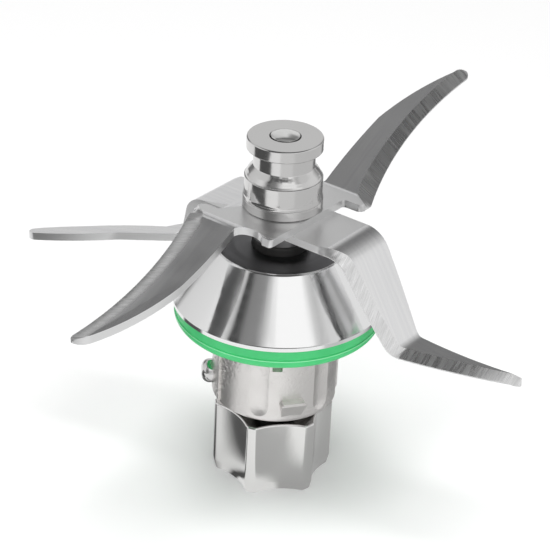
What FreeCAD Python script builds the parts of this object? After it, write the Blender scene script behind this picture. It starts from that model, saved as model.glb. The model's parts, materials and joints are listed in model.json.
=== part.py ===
"""Blade assembly of a food processor: knob, two crossed sheet blades, bearing housing and star coupling.

Lengths are in millimetres and angles in degrees. The Z axis is the shaft's axis, pointing up, and Z = 0 is
the flat underside of the coupling, on which the assembly stands.
"""
import FreeCAD, Part
import math
import os
import Sketcher
from FreeCAD import Placement, Rotation, Vector

# Driving dimensions

SIZES = {
    # Clearances
    "fit_gap": 0.02,            # radial gap of pieces that are pressed or clamped together
    "run_gap": 0.05,            # radial gap of pieces that turn in each other
    # Star coupling
    "coupling_height": 20.2,
    "coupling_radius": 15.3,    # over the teeth
    "valley_radius": 12.5,      # at the bottom of a flute
    "tooth_land": 2.4,          # width of a tooth's tip
    "tooth_count": 6,
    "tooth_phase": 16.0,        # angle of the first tooth from the blade's length
    "tooth_edge": 0.5,
    "coupling_foot_edge": 0.65,  # how far the foot's band falls back towards the axis
    "coupling_foot_band": 2.6,  # height of that band
    "coupling_head_edge": 0.35,
    "recess_radius": 8.2,       # room for the nut and its washer
    "recess_depth": 8.4,
    # Nut and washer under the coupling
    "thread_radius": 3.0,
    "nut_flats": 10.0,
    "nut_height": 5.0,
    "nut_washer_radius": 6.0,
    "nut_washer_thickness": 1.2,
    "nut_bevel": 0.54,
    "thread_end": 0.9,          # thread that stands out of the nut
    # Housing
    "coupling_gap": 2.75,       # from the coupling to the housing's lower face
    "body_height": 27.25,       # from the lower face to the flange
    "body_radius": 16.1,
    "body_foot_land": 3.48,     # flat ring on the lower face, between the bore and the rounding
    "body_foot_height": 1.6,
    "flange_radius": 26.6,
    "flange_band": 1.6,
    "flange_edge": 0.3,
    "cone_height": 14.0,
    "cone_top_radius": 16.3,
    "cone_top_edge": 0.4,
    "cone_edge_reach": 0.28,    # how far that edge lies outside the cone's top radius
    "cone_dish": 0.05,          # how far the top face falls towards the seal
    "housing_azimuth": 286.5,   # direction of the front lug
    "lug_width": 6.5,           # where it is widest
    "lug_top_width": 5.3,
    "lug_foot_width": 4.6,
    "lug_height": 6.6,
    "lug_shoulder": 0.8,        # from the lug's top down to where it is widest
    "lug_level": 0.35,          # from the lower face to the lug's lower end
    "lug_reach": 2.0,
    "lug_foot_inset": 1.1,      # how far the lower end lies inside the body's surface
    "lug_root": 3.6,            # how deep it is rooted in the wall
    "channel_angle": 30.0,      # from the lug to the middle of a channel
    "channel_depth": 0.75,
    "channel_radius": 5.6,
    "channel_level": 4.6,       # from the lower face to where a channel's round end starts
    "panel_start": 41.2,        # from the lug to the near side of a panel
    "panel_end": 78.0,
    "panel_depth": 0.45,
    "relief_head": 3.0,         # from the flange down to where channels and panels end
    "notch_angle": 14.3,
    "notch_width": 2.5,
    "notch_depth": 1.6,
    "notch_drop": 11.9,
    # Index pin
    "pin_angle": 100.5,
    "pin_level": 5.95,
    "pin_radius": 3.1,
    "pin_shank": 2.2,
    "pin_seat": 0.5,            # depth of the flat on which the head sits
    "pin_depth": 3.2,
    "pin_reach": 2.75,
    "pin_dome": 1.9,
    "pin_flat": 0.9,            # radius of the flat on the dome's top
    # Gasket
    "gasket_height": 5.4,
    "gasket_radius": 26.1,
    "gasket_lip_radius": 25.1,
    "gasket_split": 2.5,        # from the flange to the line between the two bands
    "gasket_groove": 0.35,
    "gasket_bulge": 0.42,       # how far the lower band swells beyond its lip
    "gasket_bulge_height": 0.86,
    "gasket_web": 2.4,
    "gasket_rim": 4.0,
    # Ball bearings
    "bearing_radius": 11.0,
    "bearing_width": 7.0,
    "bearing_spacing": 13.0,
    "ball_radius": 1.985,
    "ball_pitch": 7.5,
    "ball_count": 7,
    "race_gap": 0.045,
    "shoulder_offset": 1.65,    # from the balls' circle to the rings' shoulders
    "ring_edge": 0.3,
    "cage_half": 2.62,
    "cage_wall": 1.1,
    "cage_gap": 0.09,
    "shield_thickness": 0.45,
    "shield_inset": 0.08,
    # Retaining ring
    "clip_thickness": 1.2,
    "clip_width": 2.0,
    "clip_depth": 0.75,
    "clip_side_gap": 0.05,
    "clip_opening": 14.0,       # half of the angle between its ends
    "clip_eye": 0.75,
    "clip_eye_width": 3.0,
    "clip_eye_angle": 8.0,      # from an end to the middle of its eye
    "clip_eye_end": 16.0,       # from an end to where its eye's tab stops
    "clip_run_out": 4.0,
    # Shaft, its seal and the washer
    "seal_depth": 4.8,          # from the cone's top to the upper bearing
    "seal_radius": 7.2,
    "seal_proud": 2.2,
    "seal_foot": 0.7,
    "seal_neck": 7.15,
    "seal_edge": 0.4,
    "seal_lip": 1.2,
    "seal_hollow": 1.9,         # from the lip's upper edge down to the hollow behind it
    "shaft_radius": 4.0,
    "flat_distance": 3.2,       # from the axis to each of the two flats
    "collar_radius": 5.2,
    "collar_height": 7.3,
    "washer_radius": 7.2,
    "washer_thickness": 4.2,
    "spacer_radius": 5.6,
    "outer_spacer_wall": 1.2,
    # Knob
    "spigot_radius": 3.57,
    "spigot_proud": 0.15,
    "dome_height": 0.65,
    "knob_height": 18.4,
    "head_radius": 9.32,
    "head_height": 3.15,
    "head_edge": 0.25,
    "neck_radius": 7.55,
    "neck_height": 4.15,
    "flare_height": 1.5,
    "band_head_radius": 8.8,
    "band_radius": 9.4,
    "band_height": 1.25,
    "sleeve_radius": 9.6,
    "sleeve_height": 4.45,
    "skirt_radius": 9.85,
    "skirt_line": 2.6,
    "knob_groove": 0.12,
    "knob_mouth": 0.26,         # the wider mouth of the knob's bore round the shaft
    "knob_mouth_depth": 1.2,
    # Blades
    "sheet": 2.0,
    "blade_azimuth": 53.3,
    "edge_land": 0.25,          # thickness left at a cutting edge
    "bend_radius": 2.5,
    "upper_half_width": 9.6,
    "upper_fold": 16.6,
    "rise_angle": 30.0,
    "fall_angle": 26.0,
    "arm_end": 57.0,            # furthest point of an upper arm from the shaft's axis, along the blade
    "ear_length": 4.4,
    "ear_reach": 15.0,
    "ear_radius": 1.8,
    "relief_radius": 1.0,
    "relief_depth": 1.3,        # of the bay where the arm leaves the plate
    "relief_end": 6.8,
    # Outline of the rising arm: leading edge, nose and trailing edge
    "rise_lead_0_x": 16.6,
    "rise_lead_0_y": -14.8,
    "rise_lead_1_x": 34.0,
    "rise_lead_1_y": -11.5,
    "rise_lead_2_x": 55.0,
    "rise_lead_2_y": -15.6,
    "rise_nose_1_x": 55.8,
    "rise_nose_1_y": -15.4,
    "rise_nose_2_x": 55.9,
    "rise_nose_2_y": -14.6,
    "rise_trail_5_x": 55.1,
    "rise_trail_5_y": -13.2,
    "rise_trail_4_x": 53.8,
    "rise_trail_4_y": -12.3,
    "rise_trail_3_x": 46.0,
    "rise_trail_3_y": -6.5,
    "rise_trail_2_x": 36.5,
    "rise_trail_2_y": -2.0,
    "rise_trail_1_x": 28.0,
    "rise_trail_1_y": -0.9,
    "rise_trail_0_x": 17.2,
    "rise_trail_0_y": -0.4,
    "rise_grind_root": 4.5,
    "rise_grind_tip": 3.1,
    # Outline of the falling arm
    "fall_lead_0_x": 16.6,
    "fall_lead_0_y": -15.8,
    "fall_lead_1_x": 35.0,
    "fall_lead_1_y": -14.0,
    "fall_lead_2_x": 54.2,
    "fall_lead_2_y": -19.0,
    "fall_nose_1_x": 55.4,
    "fall_nose_1_y": -18.7,
    "fall_nose_2_x": 55.8,
    "fall_nose_2_y": -17.4,
    "fall_trail_5_x": 55.2,
    "fall_trail_5_y": -15.2,
    "fall_trail_4_x": 54.0,
    "fall_trail_4_y": -13.4,
    "fall_trail_3_x": 45.5,
    "fall_trail_3_y": -6.9,
    "fall_trail_2_x": 35.0,
    "fall_trail_2_y": -2.3,
    "fall_trail_1_x": 27.0,
    "fall_trail_1_y": -1.3,
    "fall_trail_0_x": 17.2,
    "fall_trail_0_y": -1.2,
    "fall_grind_root": 5.6,
    "fall_grind_tip": 4.7,
    # Lower blade
    "lower_half_width": 8.5,
    "lower_root": 18.0,         # where the plate's straight sides end
    "right_fold": 24.0,
    "right_bend": 6.0,
    "right_angle": 59.0,
    "right_drop": 23.0,
    "right_slope": 12.0,
    "right_reach": 62.8,
    "right_lead_1_x": 29.0,
    "right_lead_1_y": -6.5,
    "right_lead_2_x": 38.5,
    "right_lead_2_y": -2.9,
    "right_lead_3_x": 50.0,
    "right_lead_3_y": 4.0,
    "right_lead_4_x": 61.5,
    "right_lead_4_y": 12.3,
    "right_nose_1_x": 63.25,
    "right_nose_1_y": 13.6,
    "right_trail_4_x": 62.8,
    "right_trail_4_y": 14.8,
    "right_trail_3_x": 49.0,
    "right_trail_3_y": 9.1,
    "right_trail_2_x": 38.5,
    "right_trail_2_y": 6.4,
    "right_trail_1_x": 30.0,
    "right_trail_1_y": 7.9,
    "left_fold": 22.0,
    "left_bend": 2.0,
    "left_angle": 80.0,
    "left_drop": 11.0,
    "left_slope": 14.5,
    "left_reach": 67.8,
    "left_lead_1_x": 22.9,
    "left_lead_1_y": -6.4,
    "left_lead_2_x": 25.8,
    "left_lead_2_y": -1.4,
    "left_lead_3_x": 27.8,
    "left_lead_3_y": 1.7,
    "left_lead_4_x": 31.5,
    "left_lead_4_y": 3.4,
    "left_lead_5_x": 50.0,
    "left_lead_5_y": 7.4,
    "left_lead_6_x": 67.5,
    "left_lead_6_y": 15.1,
    "left_nose_1_x": 68.7,
    "left_nose_1_y": 16.9,
    "left_nose_2_x": 68.5,
    "left_nose_2_y": 18.5,
    "left_trail_5_x": 67.3,
    "left_trail_5_y": 19.2,
    "left_trail_4_x": 65.2,
    "left_trail_4_y": 19.4,
    "left_trail_3_x": 54.0,
    "left_trail_3_y": 17.2,
    "left_trail_2_x": 42.0,
    "left_trail_2_y": 13.2,
    "foot_bend": 3.5,
    "lower_grind": 2.9,
    "grind_lift": 0.6,
    "grind_run_out": 0.3,       # how far outside the edge the bevel starts beside a fold
    "grind_below": 0.5,         # share of the bevel's width that the tool reaches beyond the cutting edge
    "grind_above": 0.35,        # the same beyond the ridge
    "grind_tip_margin": 12.0,   # from a lower arm's end to where its bevel starts to narrow
    "right_grind_root": 2.6,
    "right_grind_tip": 2.3,
    "right_grind_start": 7.0,   # from the fold back to where the bevel begins
    "left_grind_root": 1.75,
    "left_grind_tip": 1.45,
    "left_grind_start": 3.0,
    "left_grind_full": 5.0,     # from the fold to where the bevel has its full width
    "rise_grind_fold": 3.8,     # width of the bevel right at the fold
    "fall_grind_fold": 4.8,
    "path_margin": 4.0,         # how far the bevel's path runs past an arm's end
    "trim_margin": 12.0,
}

CLOSE = 0.001   # distance under which two points count as one

doc = FreeCAD.newDocument("BladeAssembly")
sheet = doc.addObject("Spreadsheet::Sheet", "spec")
for row, (name, value) in enumerate(SIZES.items(), start=1):
    sheet.set(f"A{row}", name)
    sheet.set(f"B{row}", str(value))
    sheet.setAlias(f"B{row}", name)
doc.recompute()


def size(text):
    """Value of an expression over the sheet's names."""
    return float(sheet.evalExpression(str(text)))


# Middle point of a quarter round: its distance from each of the arc's two outer sides, and from its centre

SHORT = "(1 - sqrt(2) / 2)"
LONG = "(sqrt(2) / 2)"

# Levels along the shaft, each from the one below it

COUPLING_TOP = "spec.coupling_height"
HOUSING_LOW = f"({COUPLING_TOP} + spec.coupling_gap)"
FLANGE_LOW = f"({HOUSING_LOW} + spec.body_height)"
BAND_TOP = f"({FLANGE_LOW} + spec.flange_band)"
CONE_TOP = f"({BAND_TOP} + spec.cone_height)"
BEARING_SEAT = f"({CONE_TOP} - spec.seal_depth)"
UPPER_MIDDLE = f"({BEARING_SEAT} - spec.bearing_width / 2)"
LOWER_MIDDLE = f"({UPPER_MIDDLE} - spec.bearing_width - spec.bearing_spacing)"
SPACER_TOP = f"({UPPER_MIDDLE} - spec.bearing_width / 2)"
SPACER_LOW = f"({LOWER_MIDDLE} + spec.bearing_width / 2)"
BEARING_LOW = f"({LOWER_MIDDLE} - spec.bearing_width / 2)"
COLLAR_TOP = f"({BEARING_SEAT} + spec.collar_height)"
BLADE_SEAT = f"({COLLAR_TOP} + spec.washer_thickness)"
LOWER_FACE = f"({BLADE_SEAT} + spec.sheet)"
UPPER_FACE = f"({LOWER_FACE} + spec.sheet)"
KNOB_TOP = f"({UPPER_FACE} + spec.knob_height)"
BLANK_WIDTH = "((spec.ear_reach + spec.trim_margin) * 2)"
NUT_TOP = "(spec.recess_depth - spec.nut_washer_thickness)"
NUT_LOW = f"({NUT_TOP} - spec.nut_height)"


# Helpers for sketches and bodies

def new_body(label):
    body = doc.addObject("PartDesign::Body", label)
    body.Label = label
    return body


def new_sketch(body, name, role, lift=None):
    """Sketch on one of the body's own planes, lifted along its normal."""
    sketch = body.newObject("Sketcher::SketchObject", name)
    for feature in body.Origin.OriginFeatures:
        if feature.Role == role:
            sketch.AttachmentSupport = [(feature, "")]
    sketch.MapMode = "FlatFace"
    if lift is not None:
        sketch.setExpression("AttachmentOffset.Base.z", lift)
    return sketch


def pin_point(sketch, geometry, position, x_text, y_text):
    """Ties a point of the sketch to two expressions, or to an axis where the expression is 0."""
    for kind, text, index, axis in (("DistanceX", x_text, 0, -2), ("DistanceY", y_text, 1, -1)):
        if str(text) == "0":
            sketch.addConstraint(Sketcher.Constraint("PointOnObject", geometry, position, axis))
            continue
        here = sketch.getPoint(geometry, position)
        number = sketch.addConstraint(Sketcher.Constraint(kind, -1, 1, geometry, position, here[index]))
        sketch.setExpression(f"Constraints[{number}]", str(text))


def counterclockwise(start, via, end):
    return (via - start).cross(end - via).z > 0


def draw(sketch, corners):
    """Closed outline. A corner is (x, y), or (x, y, via x, via y) where an arc leads to the next corner."""
    ends = []
    for number, corner in enumerate(corners):
        following = corners[(number + 1) % len(corners)]
        start = Vector(size(corner[0]), size(corner[1]), 0)
        end = Vector(size(following[0]), size(following[1]), 0)
        if len(corner) == 2:
            geometry = sketch.addGeometry(Part.LineSegment(start, end), False)
            ends.append((geometry, 1, 2))
            continue
        via = Vector(size(corner[2]), size(corner[3]), 0)
        forward = counterclockwise(start, via, end)
        arc = Part.Arc(start, via, end) if forward else Part.Arc(end, via, start)
        geometry = sketch.addGeometry(arc, False)
        ends.append((geometry, 1, 2) if forward else (geometry, 2, 1))
    for number, (geometry, first, last) in enumerate(ends):
        after, after_first, _ = ends[(number + 1) % len(ends)]
        sketch.addConstraint(Sketcher.Constraint("Coincident", geometry, last, after, after_first))
    for (geometry, first, last), corner in zip(ends, corners):
        pin_point(sketch, geometry, first, corner[0], corner[1])
        if len(corner) == 4:
            point = sketch.addGeometry(Part.Point(Vector(size(corner[2]), size(corner[3]), 0)), True)
            sketch.addConstraint(Sketcher.Constraint("PointOnObject", point, 1, geometry))
            pin_point(sketch, point, 1, corner[2], corner[3])


def draw_circle(sketch, x_text, y_text, radius_text):
    centre = Vector(size(x_text), size(y_text), 0)
    geometry = sketch.addGeometry(Part.Circle(centre, Vector(0, 0, 1), size(radius_text)), False)
    pin_point(sketch, geometry, 3, x_text, y_text)
    number = sketch.addConstraint(Sketcher.Constraint("Radius", geometry, size(radius_text)))
    sketch.setExpression(f"Constraints[{number}]", str(radius_text))


def turned(label, corners):
    """Body turned about Z from a half section of (radius, height) corners."""
    body = new_body(label)
    sketch = new_sketch(body, f"{label}_section", "XZ_Plane")
    draw(sketch, corners)
    feature = body.newObject("PartDesign::Revolution", f"{label}_turning")
    feature.Profile = sketch
    feature.ReferenceAxis = (sketch, ["V_Axis"])
    doc.recompute()
    return body


def ring(inner, outer, low, high):
    """Corners of a plain ring's half section."""
    return [(inner, low), (outer, low), (outer, high), (inner, high)]


def pad(body, sketch, name, length, symmetric=False):
    feature = body.newObject("PartDesign::Pad", name)
    feature.Profile = sketch
    feature.SideType = "Symmetric" if symmetric else "One side"
    feature.setExpression("Length", length)
    doc.recompute()
    return feature


def pocket(body, sketch, name, length=None):
    """Cuts upwards from the sketch, or right through where no length is given."""
    before = body.Shape.Volume
    feature = body.newObject("PartDesign::Pocket", name)
    feature.Profile = sketch
    if length is None:
        feature.SideType = "Symmetric"
        feature.Type = "ThroughAll"
    else:
        feature.Reversed = True
        feature.setExpression("Length", length)
    doc.recompute()
    if "Up-to-date" not in feature.State or body.Shape.Volume >= before:
        raise RuntimeError(f"{name} removes nothing")
    return feature


def edge_names(shape, wanted):
    """Names of the edges whose middle point the test accepts."""
    names = []
    for number, edge in enumerate(shape.Edges, start=1):
        middle = edge.valueAt((edge.FirstParameter + edge.LastParameter) / 2)
        if wanted(edge, middle):
            names.append(f"Edge{number}")
    return names


def soften(body, kind, name, wanted, property_name, value):
    """Fillet or chamfer on the edges that the test accepts."""
    base = body.Tip
    names = edge_names(base.Shape, wanted)
    feature = body.newObject(f"PartDesign::{kind}", name)
    feature.Base = (base, names)
    feature.setExpression(property_name, value)
    doc.recompute()
    return feature


def turn_about_axis(item, angle_text):
    """Turns a finished piece about the shaft's axis."""
    item.Placement = Placement(Vector(), Rotation(Vector(0, 0, 1), size(angle_text)))
    item.setExpression("Placement.Rotation.Angle", angle_text)


def double_d(radius, flat):
    """Corners of a round hole with two flats, which face along the blade's length."""
    half = f"sqrt(({radius}) ^ 2 - ({flat}) ^ 2)"
    return [(flat, f"-{half}"), (flat, half, "0", radius),
            (f"-({flat})", half), (f"-({flat})", f"-{half}", "0", f"-({radius})")]


def polar(radius, angle):
    """Expressions of a point at a radius and an angle."""
    return f"({radius}) * cos({angle})", f"({radius}) * sin({angle})"


NODES = []


def keep(item, label):
    """Registers a finished piece under the name of its file."""
    item.Label = label
    NODES.append(item)
    return item


# Drive coupling: a cast star with six teeth, a recess for the nut and a hole with two flats

def make_coupling():
    body = new_body("drive_coupling")
    half_land = "(spec.tooth_land / spec.coupling_radius / 2 * 180 / pi)"
    step = "(360 / spec.tooth_count)"
    corners = []
    for tooth in range(int(SIZES["tooth_count"])):
        middle = f"(spec.tooth_phase + {tooth} * {step})"
        before = polar("spec.coupling_radius", f"{middle} - {half_land}")
        after = polar("spec.coupling_radius", f"{middle} + {half_land}")
        valley = polar("spec.valley_radius", f"{middle} + {step} / 2")
        corners.append(before)
        corners.append(after + valley)
    outline = new_sketch(body, "star_outline", "XY_Plane", "spec.coupling_foot_band")
    draw(outline, corners)
    pad(body, outline, "star", "spec.coupling_height - spec.coupling_foot_band")
    foot_outline = new_sketch(body, "foot_outline", "XY_Plane", "spec.coupling_foot_band")
    draw(foot_outline, corners)
    foot = pad(body, foot_outline, "foot_band", "spec.coupling_foot_band")
    foot.Reversed = True
    foot.setExpression("TaperAngle", "-atan(spec.coupling_foot_edge / spec.coupling_foot_band)")
    doc.recompute()
    tooth_radius = (size("spec.coupling_radius") + size("spec.valley_radius")) / 2

    def on_tooth(edge, middle):
        upright = abs(edge.Vertexes[0].Z - edge.Vertexes[-1].Z) > size("spec.coupling_foot_band") / 2
        return upright and math.hypot(middle.x, middle.y) > tooth_radius

    def at_level(level):
        return lambda edge, middle: abs(middle.z - level) < CLOSE

    soften(body, "Chamfer", "head_edges", at_level(size(COUPLING_TOP)), "Size", "spec.coupling_head_edge")
    soften(body, "Fillet", "tooth_edges", on_tooth, "Radius", "spec.tooth_edge")
    recess = new_sketch(body, "recess_outline", "XY_Plane")
    draw_circle(recess, "0", "0", "spec.recess_radius")
    pocket(body, recess, "nut_recess", "spec.recess_depth")
    hole = new_sketch(body, "hub_outline", "XY_Plane")
    draw(hole, double_d("spec.shaft_radius + spec.fit_gap", "spec.flat_distance + spec.fit_gap"))
    pocket(body, hole, "hub_hole")
    turn_about_axis(body, "spec.blade_azimuth")
    keep(body, "drive_coupling")


# Drive shaft: turned, with two flats under the blades and through the coupling

def make_shaft():
    thread_low = f"({NUT_LOW} - spec.thread_end)"
    chamfer = "spec.ring_edge"
    dome_top = f"({KNOB_TOP} + spec.spigot_proud + spec.dome_height)"
    dome_side = f"({KNOB_TOP} + spec.spigot_proud)"
    dome_radius = "((spec.spigot_radius ^ 2 + spec.dome_height ^ 2) / spec.dome_height / 2)"
    halfway = f"{dome_top} - {dome_radius} + sqrt({dome_radius} ^ 2 - spec.spigot_radius ^ 2 / 4)"
    body = turned("drive_shaft", [
        ("0", thread_low),
        (f"spec.thread_radius - {chamfer}", thread_low),
        ("spec.thread_radius", f"{thread_low} + {chamfer}"),
        ("spec.thread_radius", "spec.recess_depth"),
        ("spec.shaft_radius", "spec.recess_depth"),
        ("spec.shaft_radius", BEARING_SEAT),
        ("spec.collar_radius", BEARING_SEAT),
        ("spec.collar_radius", COLLAR_TOP),
        ("spec.shaft_radius", COLLAR_TOP),
        ("spec.shaft_radius", UPPER_FACE),
        ("spec.spigot_radius", UPPER_FACE),
        ("spec.spigot_radius", dome_side, "spec.spigot_radius / 2", halfway),
        ("0", dome_top),
    ])
    for name, low, height in (
        ("coupling_flats", "spec.recess_depth", f"{COUPLING_TOP} - spec.recess_depth"),
        ("blade_flats", COLLAR_TOP, f"{UPPER_FACE} - {COLLAR_TOP}"),
    ):
        sketch = new_sketch(body, f"{name}_outline", "XY_Plane", low)
        wide = "(spec.shaft_radius * 2)"
        for side in ("", "-"):
            draw(sketch, [
                (f"{side}spec.flat_distance", f"-{wide}"),
                (f"{side}{wide}", f"-{wide}"),
                (f"{side}{wide}", wide),
                (f"{side}spec.flat_distance", wide),
            ])
        pocket(body, sketch, name, height)
    turn_about_axis(body, "spec.blade_azimuth")
    keep(body, "drive_shaft")


# Washers, nut and spacers on the shaft

def make_shaft_hardware():
    bore = "spec.shaft_radius + spec.fit_gap"
    washer = turned("blade_washer", ring(bore, "spec.washer_radius", COLLAR_TOP, BLADE_SEAT))
    keep(washer, "blade_washer")
    inner = turned("inner_spacer", ring(bore, "spec.spacer_radius", SPACER_LOW, SPACER_TOP))
    keep(inner, "inner_spacer")
    lower = turned("coupling_spacer", ring(bore, "spec.spacer_radius", COUPLING_TOP, BEARING_LOW))
    keep(lower, "coupling_spacer")
    outside = "spec.bearing_radius"
    outer_wall = ring(f"{outside} - spec.outer_spacer_wall", outside, SPACER_LOW, SPACER_TOP)
    outer = turned("outer_spacer", outer_wall)
    keep(outer, "outer_spacer")
    thread = "spec.thread_radius + spec.fit_gap"
    under = turned("coupling_washer", ring(thread, "spec.nut_washer_radius", NUT_TOP, "spec.recess_depth"))
    keep(under, "coupling_washer")
    hexagon = doc.addObject("Part::Prism", "nut_hexagon")
    hexagon.setExpression("Polygon", "6")
    hexagon.setExpression("Circumradius", "spec.nut_flats / 2 / cos(30)")
    hexagon.setExpression("Height", "spec.nut_height")
    hexagon.setExpression("Placement.Base.z", NUT_LOW)
    flats = "(spec.nut_flats / 2)"
    corner = "(spec.nut_flats / 2 / cos(30))"
    bevel = "spec.nut_bevel"
    blank = turned("nut_blank", [
        (thread, NUT_LOW), (flats, NUT_LOW), (corner, f"{NUT_LOW} + {bevel}"),
        (corner, f"{NUT_TOP} - {bevel}"), (flats, NUT_TOP), (thread, NUT_TOP)])
    nut = doc.addObject("Part::Common", "coupling_nut")
    nut.Base = hexagon
    nut.Tool = blank
    keep(nut, "coupling_nut")


# Ball bearings: two rings, balls in a cage, and two shields

def make_bearing(which, middle):
    reach = "(spec.ball_radius + spec.race_gap)"
    half_groove = f"sqrt({reach} ^ 2 - spec.shoulder_offset ^ 2)"
    low = f"({middle} - spec.bearing_width / 2)"
    high = f"({middle} + spec.bearing_width / 2)"
    edge = "spec.ring_edge"
    shoulder = "(spec.ball_pitch + spec.shoulder_offset)"
    outside = "spec.bearing_radius"
    outer = turned(f"{which}_bearing_outer_ring", [
        (shoulder, low), (f"{outside} - {edge}", low), (outside, f"{low} + {edge}"),
        (outside, f"{high} - {edge}"), (f"{outside} - {edge}", high), (shoulder, high),
        (shoulder, f"{middle} + {half_groove}", f"spec.ball_pitch + {reach}", middle),
        (shoulder, f"{middle} - {half_groove}")])
    keep(outer, f"{which}_bearing_outer_ring")
    land = "(spec.ball_pitch - spec.shoulder_offset)"
    bore = "(spec.shaft_radius + spec.fit_gap)"
    inner = turned(f"{which}_bearing_inner_ring", [
        (f"{bore} + {edge}", low), (land, low),
        (land, f"{middle} - {half_groove}", f"spec.ball_pitch - {reach}", middle),
        (land, f"{middle} + {half_groove}"), (land, high), (f"{bore} + {edge}", high),
        (bore, f"{high} - {edge}"), (bore, f"{low} + {edge}")])
    keep(inner, f"{which}_bearing_inner_ring")
    balls = []
    pockets = []
    for number in range(int(SIZES["ball_count"])):
        angle = f"({number} * 360 / spec.ball_count)"
        ball = doc.addObject("Part::Sphere", f"{which}_ball")
        ball.setExpression("Radius", "spec.ball_radius")
        for axis, text in zip("xy", polar("spec.ball_pitch", angle)):
            ball.setExpression(f"Placement.Base.{axis}", text)
        ball.setExpression("Placement.Base.z", middle)
        balls.append(ball)
        hole = doc.addObject("Part::Cylinder", f"{which}_cage_hole")
        hole.setExpression("Radius", "spec.ball_radius + spec.cage_gap")
        hole.setExpression("Height", "spec.bearing_radius")
        tilt = Rotation(Vector(0, 0, 1), size(angle)).multiply(Rotation(Vector(0, 1, 0), 90))
        hole.Placement = Placement(Vector(0, 0, size(middle)), tilt)
        hole.setExpression("Placement.Base.z", middle)
        pockets.append(hole)
    group = doc.addObject("Part::Compound", f"{which}_bearing_balls")
    group.Links = balls
    keep(group, f"{which}_bearing_balls")
    holes = doc.addObject("Part::Compound", f"{which}_cage_holes")
    holes.Links = pockets
    band = turned(f"{which}_cage_band", ring(
        "spec.ball_pitch - spec.cage_wall / 2", "spec.ball_pitch + spec.cage_wall / 2",
        f"{middle} - spec.cage_half", f"{middle} + spec.cage_half"))
    cage = doc.addObject("Part::Cut", f"{which}_bearing_cage")
    cage.Base = band
    cage.Tool = holes
    keep(cage, f"{which}_bearing_cage")
    faces = []
    for name, start in (("top", f"{high} - spec.shield_inset - spec.shield_thickness"),
                        ("low", f"{low} + spec.shield_inset")):
        section = ring(f"{land} + spec.run_gap", f"{shoulder} - spec.fit_gap",
                       start, f"{start} + spec.shield_thickness")
        faces.append(turned(f"{which}_{name}_shield", section))
    shields = doc.addObject("Part::Compound", f"{which}_bearing_shields")
    shields.Links = faces
    keep(shields, f"{which}_bearing_shields")


# Bearing housing: cast and turned, with lugs, channels, panels and the pin's seat

def arc_sector(start, end, inner, outer):
    """Corners of a slice of a ring between two angles."""
    middle = f"(({start}) + ({end})) / 2"
    return [polar(inner, start) + polar(inner, middle), polar(inner, end),
            polar(outer, end) + polar(outer, middle), polar(outer, start)]


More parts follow.
